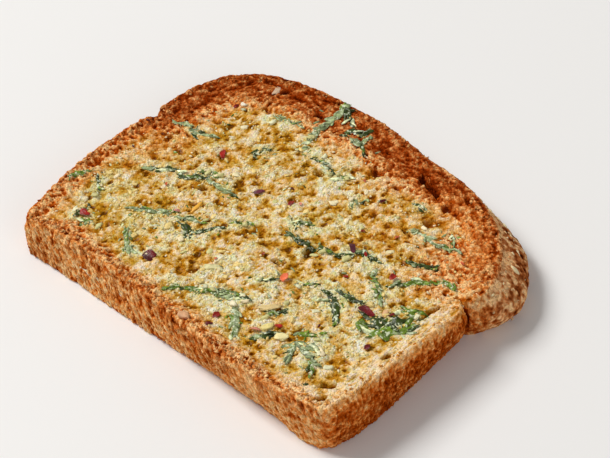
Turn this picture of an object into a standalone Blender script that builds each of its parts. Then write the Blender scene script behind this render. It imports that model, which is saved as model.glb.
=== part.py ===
"""One slice of a toasted tin loaf, lying flat on its underside.

The slice has a long straight base, sides that bulge a little, a crease on each side where the loaf
rose out of its tin, and a lopsided dome above the creases. The dome's crust leans outwards below
its rim, the rim is a low crisp lip, and the crumb behind it dips and is open in a few deep pores.

Metres, +Z up. The origin is on the table, under the middle of the slice's bounding box. X runs
along the base edge and Y from the base edge to the dome.
"""

import math

import bmesh
import bpy
import numpy as np

MM = 0.001

# The outline of the upper rim, measured from the middle of the base edge.
BASE_HALF_WIDTH = 54 * MM
BASE_WAVE = 5.5 * MM  # the base edge is a lazy S: this times t (1 - t squared)
SHOULDER_HEIGHT = 51 * MM  # where the sides end and the dome begins
LEFT_SHOULDER = 58.5 * MM
LEFT_BULGE = 3.0 * MM
RIGHT_SHOULDER = 58.7 * MM
RIGHT_RISE = 0.45  # below 1, the right side spreads most next to the base
CROWN_OFFSET = -8 * MM  # the dome's highest point is left of the middle
DOME_HEIGHT = 36 * MM
LEFT_SQUARENESS = 3.2  # superellipse exponents: 2 is an ellipse, more is squarer
RIGHT_SQUARENESS = 2.1
CORNER_ROUNDING = 5 * MM

# Notches in the outline: a point near each, its depth, and how far it spreads along the rim.
CREASES = (
    ((-58 * MM, 51 * MM), 2.2 * MM, 1.9 * MM),
    ((58 * MM, 47.5 * MM), 1.9 * MM, 2.2 * MM),
    ((15 * MM, 84.5 * MM), 2.2 * MM, 14 * MM),
    ((-8 * MM, 87 * MM), 0.5 * MM, 22 * MM),
)

# The slice was cut thicker at its right base corner than at its left, and thins towards the dome.
THICKNESS = 13.4 * MM
THICKER_RIGHTWARDS = 0.026
THINNER_UPWARDS = 0.04

# The wall, as distances outwards from the upper rim.
WALL_BELLY = 0.7 * MM
LEAN = 1.0 * MM  # of the dome's crust, outwards below its rim
LEAN_RIGHT = 8.2 * MM  # more than that at its right shoulder
LEAN_FROM = (30 * MM, 44 * MM)  # the distances right and up at which each part begins
LEAN_IN_FULL = (58 * MM, 60 * MM)
FOOT_EDGE = 1.0 * MM  # the lowest edge is rounded inwards by this much

# The foot of the wall. Under the base it swings out at the left and in at the right.
FOOT_OUT = 0.3 * MM
FOOT_SWING = 2.5 * MM
SWING_MIDDLE = 1 * MM
SWING_LENGTH = 124 * MM
BASE_ENDS = (2.5 * MM, 9 * MM)
FLARE = 1.8 * MM  # at the right base corner
FLARE_PLACE = (48 * MM, -1.5 * MM)
FLARE_REACH = 6.5 * MM
SIDE_TUCK = 2.1 * MM  # under the right side, growing towards the crease
SIDE_TUCK_FROM = (40 * MM, 10 * MM)
SIDE_TUCK_IN_FULL = (56 * MM, 46 * MM)
SHOULDER_TUCK = 3.0 * MM  # more than that under the dome's right shoulder
SHOULDER_TUCK_FROM = (46 * MM, 46 * MM)
SHOULDER_TUCK_IN_FULL = (57 * MM, 54 * MM)

# The upper face.
RIM_DROP = 1.1 * MM  # the outermost edge of the rim is rounded down by this much
LIP_RISE = 0.5 * MM
LIP_WIDTH = 0.1  # as a share of the way from the rim to the middle
CRUMB_DIP = 0.5 * MM
UNDULATION = 0.35 * MM
UNDULATION_LENGTH = 31 * MM

# The deepest pores of the crumb: place, radius and depth.
PORES = (
    ((13.7 * MM, 37.4 * MM), 2.4 * MM, 2.4 * MM),
    ((9.8 * MM, 30.1 * MM), 1.9 * MM, 1.5 * MM),
    ((-25.3 * MM, 37.4 * MM), 2.0 * MM, 1.5 * MM),
    ((-5.3 * MM, 61.5 * MM), 2.4 * MM, 1.7 * MM),
    ((6.9 * MM, 70.8 * MM), 2.6 * MM, 1.7 * MM),
    ((21.4 * MM, 75.0 * MM), 2.2 * MM, 2.0 * MM),
    ((30.5 * MM, 71.4 * MM), 2.2 * MM, 1.6 * MM),
    ((30.8 * MM, 64.4 * MM), 2.6 * MM, 1.5 * MM),
    ((44.6 * MM, 38.6 * MM), 1.9 * MM, 1.5 * MM),
    ((49.0 * MM, 6.9 * MM), 2.4 * MM, 1.8 * MM),
    ((-35.0 * MM, 76.0 * MM), 2.6 * MM, 1.5 * MM),
)

# How finely the surface is divided.
CELLS_ALONG_BASE = 48
CELLS_UP_SIDE = 36
WALL_ROWS = 6
DENSE_POINTS = 2000  # on the outline before it is shared out among the cells
TOUCHING = 1e-4  # two places in the square of cells that are this close are the same

CRUMB_COLOUR = (0.76, 0.55, 0.25, 1.0)
CRUMB_ROUGHNESS = 0.6


def spaced_evenly(points, count):
    """The closed loop of points, shared out again at equal distances along it."""
    loop = np.vstack([points, points[:1]])
    along = np.r_[0.0, np.cumsum(np.linalg.norm(np.diff(loop, axis=0), axis=1))]
    wanted = np.linspace(0.0, along[-1], count, endpoint=False)
    return np.stack([np.interp(wanted, along, loop[:, axis]) for axis in (0, 1)], axis=1)


def rounded(points, reach):
    """Each point replaced by the mean of its neighbours within reach, which rounds the corners."""
    perimeter = np.linalg.norm(points - np.roll(points, 1, axis=0), axis=1).sum()
    each_way = max(1, round(reach / perimeter * len(points) / 2))
    shifts = range(-each_way, each_way + 1)
    return np.mean([np.roll(points, shift, axis=0) for shift in shifts], axis=0)


def outward(points):
    """Unit normals of a loop that runs anticlockwise."""
    tangent = np.roll(points, -1, axis=0) - np.roll(points, 1, axis=0)
    normal = np.stack([tangent[:, 1], -tangent[:, 0]], axis=1)
    return normal / np.linalg.norm(normal, axis=1, keepdims=True)


def base_and_sides():
    """The base edge from left to right, and each side from the base to the shoulder."""
    t = np.linspace(-1.0, 1.0, 300)
    base = np.stack([BASE_HALF_WIDTH * t, -BASE_WAVE * t * (1 - t**2)], axis=1)
    up = np.linspace(0.0, 1.0, 150)[1:]
    right_x = BASE_HALF_WIDTH + (RIGHT_SHOULDER - BASE_HALF_WIDTH) * up**RIGHT_RISE
    left_x = BASE_HALF_WIDTH + (LEFT_SHOULDER - BASE_HALF_WIDTH) * up
    left_x += LEFT_BULGE * np.sin(math.pi * up)
    right = np.stack([right_x, SHOULDER_HEIGHT * up], axis=1)
    left = np.stack([-left_x, SHOULDER_HEIGHT * up], axis=1)
    return base, right, left


def dome_quarter(reach, squareness):
    """A quarter of a superellipse, from the shoulder to the crown."""
    angle = np.linspace(0.0, math.pi / 2, 250)[1:]
    x = reach * np.cos(angle).clip(0.0) ** (2 / squareness)
    y = SHOULDER_HEIGHT + DOME_HEIGHT * np.sin(angle) ** (2 / squareness)
    return x, y


def upper_rim():
    """The outline of the upper face, anticlockwise from the left end of the base."""
    base, right, left = base_and_sides()
    right_x, right_y = dome_quarter(RIGHT_SHOULDER - CROWN_OFFSET, RIGHT_SQUARENESS)
    left_x, left_y = dome_quarter(LEFT_SHOULDER + CROWN_OFFSET, LEFT_SQUARENESS)
    right_dome = np.stack([CROWN_OFFSET + right_x, right_y], axis=1)
    left_dome = np.stack([CROWN_OFFSET - left_x, left_y], axis=1)[::-1]
    loop = np.vstack([base, right, right_dome, left_dome[1:], left[::-1][1:]])
    loop = rounded(spaced_evenly(loop, DENSE_POINTS), CORNER_ROUNDING)
    step = np.linalg.norm(loop[1] - loop[0])
    for place, depth, spread in CREASES:
        nearest = np.argmin(np.linalg.norm(loop - np.array(place), axis=1))
        away = np.abs(np.arange(len(loop)) - nearest)
        away = np.minimum(away, len(loop) - away) * step
        loop = loop - outward(loop) * (depth * np.exp(-((away / spread) ** 2)))[:, None]
    return loop


def shared_out(loop, cells_along_base, cells_round):
    """The loop's points, with a whole number of cells along the base and the rest round the top.

    The base ends where the loop is furthest from the middle of the base's upper side."""
    corner_left = np.argmin(loop[:, 0] + loop[:, 1])
    loop = np.roll(loop, -corner_left, axis=0)
    corner_right = np.argmax(loop[:, 0] - loop[:, 1])
    stretches = (
        (loop[: corner_right + 1], cells_along_base),
        (np.vstack([loop[corner_right:], loop[:1]]), cells_round),
    )
    shared = []
    for points, cells in stretches:
        along = np.r_[0.0, np.cumsum(np.linalg.norm(np.diff(points, axis=0), axis=1))]
        wanted = np.linspace(0.0, along[-1], cells, endpoint=False)
        shared.append(np.stack([np.interp(wanted, along, points[:, axis]) for axis in (0, 1)], axis=1))
    return np.vstack(shared)


def border_position(a, b):
    """Where the ray from the middle through (a, b) leaves the square, in cells from its first corner."""
    reach = max(abs(a), abs(b))
    a, b = a / reach, b / reach
    wide, high = CELLS_ALONG_BASE, CELLS_UP_SIDE
    if b < -1 + TOUCHING:
        return (a + 1) / 2 * wide
    if a > 1 - TOUCHING:
        return wide + (b + 1) / 2 * high
    if b > 1 - TOUCHING:
        return wide + high + (1 - a) / 2 * wide
    return 2 * wide + high + (1 - b) / 2 * high


def at_position(values, position):
    """The value at a fractional position in a closed list."""
    first = int(math.floor(position)) % len(values)
    share = position - math.floor(position)
    return values[first] * (1 - share) + values[(first + 1) % len(values)] * share


def smooth_step(value, low, high):
    share = min(max((value - low) / (high - low), 0.0), 1.0)
    return share * share * (3 - 2 * share)


def thickness_at(x, y):
    return THICKNESS + THICKER_RIGHTWARDS * x - THINNER_UPWARDS * y


def upper_height(x, y, reach):
    """Height of the upper face, where reach is 0 in the middle of the slice and 1 on its rim."""
    lip = math.exp(-(((1 - reach) / LIP_WIDTH) ** 2))
    height = thickness_at(x, y) + LIP_RISE * lip - CRUMB_DIP * (1 - lip)
    wave_x = math.sin(2 * math.pi * (x + 0.4 * y) / UNDULATION_LENGTH)
    wave_y = math.cos(2 * math.pi * (y - 0.3 * x) / UNDULATION_LENGTH)
    height += UNDULATION * wave_x * wave_y * (1 - lip)
    for (pore_x, pore_y), radius, depth in PORES:
        away = math.hypot(x - pore_x, y - pore_y) / radius
        height -= depth * math.exp(-(away**2))
    return height - RIM_DROP * (reach > 1 - TOUCHING)


def both_steps(x, y, low, high):
    """A smooth step rightwards times a smooth step upwards."""
    return smooth_step(x, low[0], high[0]) * smooth_step(y, low[1], high[1])


def foot_offset(x, y):
    """How far the foot of the wall stands outside the rim."""
    swing = FOOT_SWING * math.sin(2 * math.pi * (x - SWING_MIDDLE) / SWING_LENGTH)
    base = (FOOT_OUT - swing) * (1 - smooth_step(y, *BASE_ENDS))
    away = math.hypot(x - FLARE_PLACE[0], y - FLARE_PLACE[1]) / FLARE_REACH
    side = SIDE_TUCK * both_steps(x, y, SIDE_TUCK_FROM, SIDE_TUCK_IN_FULL)
    shoulder = SHOULDER_TUCK * both_steps(x, y, SHOULDER_TUCK_FROM, SHOULDER_TUCK_IN_FULL)
    return base + FLARE * math.exp(-(away**2)) - side - shoulder


def wall_offset(x, y, up):
    """How far the wall stands outside the rim, where up is 0 on the table and 1 at the rim."""
    lean = LEAN * smooth_step(y, LEAN_FROM[1], LEAN_IN_FULL[1])
    lean += LEAN_RIGHT * both_steps(x, y, LEAN_FROM, LEAN_IN_FULL)
    out = lean * math.sin(math.pi / 2 * (1 - up)) + WALL_BELLY * math.sin(math.pi * up)
    return out + foot_offset(x, y) * (1 - up) ** 2 - FOOT_EDGE * (up < TOUCHING)


def square_slab():
    """A flat square of cells whose border is drawn down in rows and closed below by one face."""
    slab = bmesh.new()
    bmesh.ops.create_grid(slab, x_segments=CELLS_ALONG_BASE, y_segments=CELLS_UP_SIDE, size=1.0)
    bmesh.ops.translate(slab, vec=(0.0, 0.0, 1.0), verts=slab.verts)
    border = [edge for edge in slab.edges if edge.is_boundary]
    for _ in range(WALL_ROWS):
        drawn = bmesh.ops.extrude_edge_only(slab, edges=border)["geom"]
        border = [piece for piece in drawn if isinstance(piece, bmesh.types.BMEdge) and piece.is_boundary]
        below = {vert for edge in border for vert in edge.verts}
        bmesh.ops.translate(slab, vec=(0.0, 0.0, -1.0 / WALL_ROWS), verts=list(below))
    bmesh.ops.contextual_create(slab, geom=border)
    return slab


def slice_mesh():
    rim = shared_out(upper_rim(), CELLS_ALONG_BASE, CELLS_ALONG_BASE + 2 * CELLS_UP_SIDE)
    normals = outward(rim)
    middle = np.array([0.0, (rim[:, 1].min() + rim[:, 1].max()) / 2])
    slab = square_slab()
    for vert in slab.verts:
        a, b, up = vert.co
        reach = max(abs(a), abs(b))
        if reach < TOUCHING:
            vert.co = (middle[0], middle[1], upper_height(middle[0], middle[1], 0.0))
            continue
        position = border_position(a, b)
        edge = at_position(rim, position)
        x, y = middle + reach * (edge - middle)
        if up > 1 - TOUCHING:
            vert.co = (x, y, upper_height(x, y, reach))
            continue
        up = max(up, 0.0)
        x, y = edge + at_position(normals, position) * wall_offset(edge[0], edge[1], up)
        vert.co = (x, y, upper_height(edge[0], edge[1], 1.0) * up)
    bmesh.ops.recalc_face_normals(slab, faces=slab.faces)
    mesh = bpy.data.meshes.new("toast_slice")
    slab.to_mesh(mesh)
    slab.free()
    return mesh


def move_to_middle(mesh):
    """The origin goes on the table under the middle of the bounding box."""
    corners = np.empty(len(mesh.vertices) * 3)
    mesh.vertices.foreach_get("co", corners)
    corners = corners.reshape(-1, 3)
    low, high = corners.min(axis=0), corners.max(axis=0)
    corners[:, :2] -= ((low + high) / 2)[:2]
    corners[:, 2] -= low[2]
    mesh.vertices.foreach_set("co", corners.ravel())
    mesh.update()


def toasted_crumb():
    material = bpy.data.materials.new("toasted_crumb")
    material.use_nodes = True
    shader = material.node_tree.nodes["Principled BSDF"]
    shader.inputs["Base Color"].default_value = CRUMB_COLOUR
    shader.inputs["Roughness"].default_value = CRUMB_ROUGHNESS
    shader.inputs["Metallic"].default_value = 0.0
    return material


def main():
    for old in list(bpy.data.objects):
        bpy.data.objects.remove(old, do_unlink=True)
    collection = bpy.data.collections.new("garlic_toast")
    bpy.context.scene.collection.children.link(collection)
    mesh = slice_mesh()
    move_to_middle(mesh)
    mesh.materials.append(toasted_crumb())
    mesh.shade_smooth()
    mesh.set_sharp_from_angle(angle=math.radians(50))
    collection.objects.link(bpy.data.objects.new("toast_slice", mesh))


main()
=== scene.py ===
# %% [markdown]
# # A slice of garlic toast
#
# This lesson builds the look of one slice of toasted tin loaf with garlic, herbs and chilli on it.
# The plain solid of the slice already exists: it was made for its size and for resting on a table.
# It is loaded first, as a fixed frame, and everything below is laid out to fit it. The looks could be
# painted on that solid, but toast is known by its relief, so new surfaces with real pits take its place.

# %% Load the frame
import math

import bpy
import numpy as np
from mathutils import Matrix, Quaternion, Vector


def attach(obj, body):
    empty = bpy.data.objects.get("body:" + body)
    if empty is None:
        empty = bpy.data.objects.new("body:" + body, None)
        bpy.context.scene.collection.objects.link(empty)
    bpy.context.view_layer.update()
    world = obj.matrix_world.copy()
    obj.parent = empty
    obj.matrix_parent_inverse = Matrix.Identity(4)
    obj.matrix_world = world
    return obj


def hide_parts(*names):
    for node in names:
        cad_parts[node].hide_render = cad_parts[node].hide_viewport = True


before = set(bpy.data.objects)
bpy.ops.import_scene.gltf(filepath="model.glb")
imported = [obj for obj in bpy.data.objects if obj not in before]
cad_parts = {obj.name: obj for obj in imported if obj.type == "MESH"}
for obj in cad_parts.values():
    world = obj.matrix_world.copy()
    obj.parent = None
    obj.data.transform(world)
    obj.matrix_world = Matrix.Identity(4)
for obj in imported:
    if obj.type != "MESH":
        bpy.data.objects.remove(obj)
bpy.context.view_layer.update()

# %% [markdown]
# ## The outline of the slice
#
# A tin loaf has a flat base, sides that bulge a little where they pressed on the tin, and a dome that
# rose above it. A crease on each side marks the top of the tin. The outline could be drawn by hand as
# a curve, but a formula for each stretch keeps the sizes in sight: a lazy S for the base, a swelling
# line for each side and a quarter of a superellipse for each half of the dome. These are the sizes of
# the solid slice. Lengths are in millimetres, measured from the middle of the base edge, and they
# become metres only when a mesh is made.

# %% Sizes of the outline
BASE_HALF_WIDTH, BASE_WAVE = 54.0, 5.5
SHOULDER_HEIGHT, LEFT_SHOULDER, RIGHT_SHOULDER = 51.0, 58.5, 58.7
LEFT_BULGE, RIGHT_RISE = 3.0, 0.45
CROWN_OFFSET, DOME_HEIGHT = -8.0, 36.0
LEFT_SQUARENESS, RIGHT_SQUARENESS = 3.2, 2.1
CORNER_ROUNDING = 5.0
CREASES = (  # (near, depth, spread) of the dents in the outline: two creases and a dip in the dome
    ((-58.0, 51.0), 2.2, 1.9), ((58.0, 47.5), 1.9, 2.2), ((15.0, 84.5), 2.2, 14.0), ((-8.0, 87.0), 0.5, 22.0),
)
OUTLINE_POINTS = 2000


# %% The outline as a closed loop
def along(points):
    """Distance from the first point to each point, walking along them."""
    return np.r_[0.0, np.cumsum(np.linalg.norm(np.diff(points, axis=0), axis=1))]


def share_out(points, count, closed=False):
    """The same line with count points at equal distances."""
    line = np.vstack([points, points[:1]]) if closed else points
    distance = along(line)
    wanted = np.linspace(0.0, distance[-1], count, endpoint=not closed)
    return np.stack([np.interp(wanted, distance, line[:, k]) for k in range(line.shape[1])], axis=1)


def outward(loop):
    """Unit normals of an anticlockwise loop: the tangent turned a quarter turn to the right."""
    tangent = np.roll(loop, -1, axis=0) - np.roll(loop, 1, axis=0)
    normal = np.stack([tangent[:, 1], -tangent[:, 0]], axis=1)
    return normal / np.linalg.norm(normal, axis=1, keepdims=True)


def dome_half(side, reach, squareness):
    """A quarter of a superellipse: (x / reach) ^ n + (y / height) ^ n = 1, from shoulder to crown, to
    the right of the crown where side is 1 and to its left where it is -1."""
    angle = np.linspace(0.0, math.pi / 2, 250)[1:]
    x = reach * np.cos(angle).clip(0.0) ** (2 / squareness)
    y = SHOULDER_HEIGHT + DOME_HEIGHT * np.sin(angle) ** (2 / squareness)
    return np.stack([CROWN_OFFSET + side * x, y], axis=1)


def outline():
    """Base, right side, dome and left side joined, rounded by a running mean, and then notched. With t
    from -1 to 1, the base is -wave t (1 - t^2). Up a side, the right edge moves out with a power of the
    height, and the left edge evenly plus half a sine."""
    t = np.linspace(-1.0, 1.0, 300)
    up = np.linspace(0.0, 1.0, 150)[1:]
    base = np.stack([BASE_HALF_WIDTH * t, -BASE_WAVE * t * (1 - t**2)], axis=1)
    right_x = BASE_HALF_WIDTH + (RIGHT_SHOULDER - BASE_HALF_WIDTH) * up**RIGHT_RISE
    left_x = BASE_HALF_WIDTH + (LEFT_SHOULDER - BASE_HALF_WIDTH) * up + LEFT_BULGE * np.sin(math.pi * up)
    right = np.stack([right_x, SHOULDER_HEIGHT * up], axis=1)
    left = np.stack([-left_x, SHOULDER_HEIGHT * up], axis=1)[::-1]
    right_dome = dome_half(1, RIGHT_SHOULDER - CROWN_OFFSET, RIGHT_SQUARENESS)
    left_dome = dome_half(-1, LEFT_SHOULDER + CROWN_OFFSET, LEFT_SQUARENESS)[-2::-1]
    loop = np.vstack([base, right, right_dome, left_dome, left[1:]])
    loop = share_out(loop, OUTLINE_POINTS, closed=True)
    step = np.linalg.norm(loop[1] - loop[0])
    reach = round(CORNER_ROUNDING / step / 2)
    loop = np.mean([np.roll(loop, k, axis=0) for k in range(-reach, reach + 1)], axis=0)
    for place, depth, spread in CREASES:
        nearest = np.argmin(np.linalg.norm(loop - np.array(place), axis=1))
        away = np.abs(np.arange(OUTLINE_POINTS) - nearest)
        away = np.minimum(away, OUTLINE_POINTS - away) * step
        loop = loop - outward(loop) * (depth * np.exp(-((away / spread) ** 2)))[:, None]
    return np.roll(loop, -np.argmin(loop[:, 0] + loop[:, 1]), axis=0)


rim = outline()
rim_normal = outward(rim)
rim_walk = along(np.vstack([rim, rim[:1]]))
PERIMETER = rim_walk[-1]
base_share = rim_walk[np.argmax(rim[:, 0] - rim[:, 1])] / PERIMETER
middle = np.array([0.0, (rim[:, 1].min() + rim[:, 1].max()) / 2])
print(f"the rim is {PERIMETER:.0f} mm round, {np.ptp(rim[:, 0]):.1f} wide and {np.ptp(rim[:, 1]):.1f} high")


# %% [markdown]
# ## Finding where a point lies on the slice
#
# Much of the look depends on how near a place is to the rim: the crust browns first, and the garlic
# stops short of it. The distance to every point of the outline could be measured and the least one
# kept, but the grids below have hundreds of thousands of points. Seen from the middle, the outline is
# crossed once in every direction, so the angle of a point gives the piece of rim behind it at once.

# %% Distance from the rim
rim_from_middle = rim - middle
rim_angle = np.arctan2(rim_from_middle[:, 1], rim_from_middle[:, 0])
rim_radius = np.linalg.norm(rim_from_middle, axis=1)
rim_facing = np.sum(rim_normal * rim_from_middle, axis=1) / rim_radius


def rim_distance(x, y):
    """Millimetres inwards from the rim: the gap along the ray from the middle, times the cosine
    between that ray and the rim's normal."""
    angle = np.arctan2(y - middle[1], x - middle[0])
    radius = np.interp(angle, rim_angle, rim_radius, period=2 * math.pi)
    facing = np.interp(angle, rim_angle, rim_facing, period=2 * math.pi)
    return (radius - np.hypot(x - middle[0], y - middle[1])) * facing


def smooth_step(value, low, high):
    """0 below low, 1 above high, and 3 s^2 - 2 s^3 between."""
    share = np.clip((value - low) / (high - low), 0.0, 1.0)
    return share * share * (3 - 2 * share)


print(f"the middle of the slice is {rim_distance(*middle):.1f} mm from the rim")


# %% [markdown]
# ## Thickness, lip and wall
#
# The knife cut this slice thicker at one base corner, and it thins towards the dome. Its rim is a low
# lip, because the crumb behind it sank as it dried. Below the rim the dome's crust leans outwards, and
# the foot of the wall swings out and in along the base, as the knife wandered. All this could be
# sculpted, but as formulas the upper face is one height for each place and the wall one offset from the
# rim, so every piece below can ask where the bread is.

# %% The plain surfaces, before any texture
THICKNESS, THICKER_RIGHTWARDS, THINNER_UPWARDS = 13.4, 0.026, 0.04
LIP_RISE, LIP_WIDTH, CRUMB_DIP = 0.5, 4.0, 0.5
UNDULATION, UNDULATION_LENGTH = 0.35, 31.0
WALL_BELLY, FOOT_EDGE = 0.7, 1.0
LEAN, LEAN_RIGHT, LEAN_FROM, LEAN_IN_FULL = 1.0, 8.2, (30.0, 44.0), (58.0, 60.0)
FOOT_OUT, FOOT_SWING, SWING_MIDDLE, SWING_LENGTH, BASE_ENDS = 0.3, 2.5, 1.0, 124.0, (2.5, 9.0)
FLARE, FLARE_PLACE, FLARE_REACH = 1.8, (48.0, -1.5), 6.5
SIDE_TUCK, SIDE_TUCK_FROM, SIDE_TUCK_IN_FULL = 2.1, (40.0, 10.0), (56.0, 46.0)
SHOULDER_TUCK, SHOULDER_TUCK_FROM, SHOULDER_TUCK_IN_FULL = 3.0, (46.0, 46.0), (57.0, 54.0)
PORES = (  # (from, to, radius, depth) of the deepest holes, some of them slits
    ((13.7, 37.0), (13.6, 38.4), 1.5, 3.0), ((9.0, 30.2), (10.8, 30.0), 0.9, 2.0),
    ((-25.3, 37.0), (-25.3, 38.0), 0.9, 1.9), ((-5.3, 61.5), (-4.6, 61.6), 1.4, 2.0),
    ((6.2, 70.9), (7.8, 70.6), 1.5, 2.0), ((17.6, 76.4), (25.0, 73.9), 1.1, 3.0),
    ((30.2, 71.4), (30.9, 71.3), 1.5, 1.8), ((30.4, 64.4), (31.2, 64.3), 1.7, 1.6),
    ((44.3, 38.8), (45.0, 38.3), 0.8, 2.0), ((48.4, 6.7), (49.8, 7.4), 1.3, 2.2),
    ((50.4, 2.6), (50.9, 3.4), 0.9, 1.8), ((53.4, 21.6), (53.9, 23.0), 0.8, 1.6),
    ((51.4, 37.0), (52.4, 42.6), 0.6, 1.7), ((-34.6, 71.2), (-33.6, 71.3), 0.9, 1.4),
    ((-36.2, 79.6), (-35.2, 80.2), 1.0, 1.6), ((-22.0, 78.3), (-20.0, 78.7), 0.7, 1.5),
    ((39.0, 52.3), (40.3, 52.9), 0.9, 1.2), ((27.6, 58.2), (28.6, 58.0), 0.8, 1.2),
)


def thickness_at(x, y):
    """Thickness without the lip and the dip: it changes evenly rightwards and upwards."""
    return THICKNESS + THICKER_RIGHTWARDS * x - THINNER_UPWARDS * y


def plain_top(x, y):
    """Height of the upper face: its thickness, a bell-shaped lip at the rim, and crossed waves."""
    lip = np.exp(-((rim_distance(x, y) / LIP_WIDTH) ** 2))
    waves = np.sin(2 * math.pi * (x + 0.4 * y) / UNDULATION_LENGTH)
    waves = waves * np.cos(2 * math.pi * (y - 0.3 * x) / UNDULATION_LENGTH)
    return thickness_at(x, y) + LIP_RISE * lip + (UNDULATION * waves - CRUMB_DIP) * (1 - lip)


def both_steps(x, y, low, high):
    """A smooth step rightwards times a smooth step upwards."""
    return smooth_step(x, low[0], high[0]) * smooth_step(y, low[1], high[1])


def foot_offset(x, y):
    """How far the foot of the wall stands outside the rim: a sine along the base, a bell-shaped flare
    at its right corner, and tucked in under the right side and under the dome's right shoulder."""
    swing = FOOT_SWING * np.sin(2 * math.pi * (x - SWING_MIDDLE) / SWING_LENGTH)
    base = (FOOT_OUT - swing) * (1 - smooth_step(y, *BASE_ENDS))
    away = np.hypot(x - FLARE_PLACE[0], y - FLARE_PLACE[1]) / FLARE_REACH
    side = SIDE_TUCK * both_steps(x, y, SIDE_TUCK_FROM, SIDE_TUCK_IN_FULL)
    shoulder = SHOULDER_TUCK * both_steps(x, y, SHOULDER_TUCK_FROM, SHOULDER_TUCK_IN_FULL)
    return base + FLARE * np.exp(-(away**2)) - side - shoulder


def wall_offset(x, y, up):
    """How far the wall stands outside the rim, where up is 0 on the table and 1 at the rim: a
    quarter sine of the lean, half a sine of the belly, and the foot's offset times (1 - up) squared."""
    lean = LEAN * smooth_step(y, LEAN_FROM[1], LEAN_IN_FULL[1])
    lean = lean + LEAN_RIGHT * both_steps(x, y, LEAN_FROM, LEAN_IN_FULL)
    wall = lean * np.sin(math.pi / 2 * (1 - up)) + WALL_BELLY * np.sin(math.pi * up)
    return wall + foot_offset(x, y) * (1 - up) ** 2


# The solid slice has its origin under the middle of its box, so that point is found here too.
widest = []
for up in np.linspace(0.0, 1.0, 7):
    out = wall_offset(rim[:, 0], rim[:, 1], up) - FOOT_EDGE * (up == 0)
    widest.append(rim + rim_normal * out[:, None])
widest = np.vstack(widest)
box_middle = (widest.min(axis=0) + widest.max(axis=0)) / 2
print("the base edge's middle lies", np.round(-box_middle, 2), "mm from the origin")
thick_at_rim = thickness_at(*rim.T)
print(f"the slice is {thick_at_rim.min():.1f} to {thick_at_rim.max():.1f} mm thick at its rim")


# %% [markdown]
# ## Where the herb lies
#
# The herb is laid before the crumb is made, because its oil stains the crumb round it. It could be
# strewn at random, but a slice is known by where its big shreds fell, so these are listed: a
# colour, a width and a few places along each. Colours are written as a screen shows them.

# %% Colours and shreds
def paint(*screen):
    """A red, green and blue as a screen shows them, from 0 to 255, turned into the linear light that
    shaders use: ((c + 0.055) / 1.055) ^ 2.4, or c / 12.92 where it is nearly black."""
    linear = [(c / 255 / 12.92) if c <= 10 else ((c / 255 + 0.055) / 1.055) ** 2.4 for c in screen]
    return (*linear, 1.0)


# GREY is partly the herb's own grey-green and partly painted sheen, the grey highlights of its oil.
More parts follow.
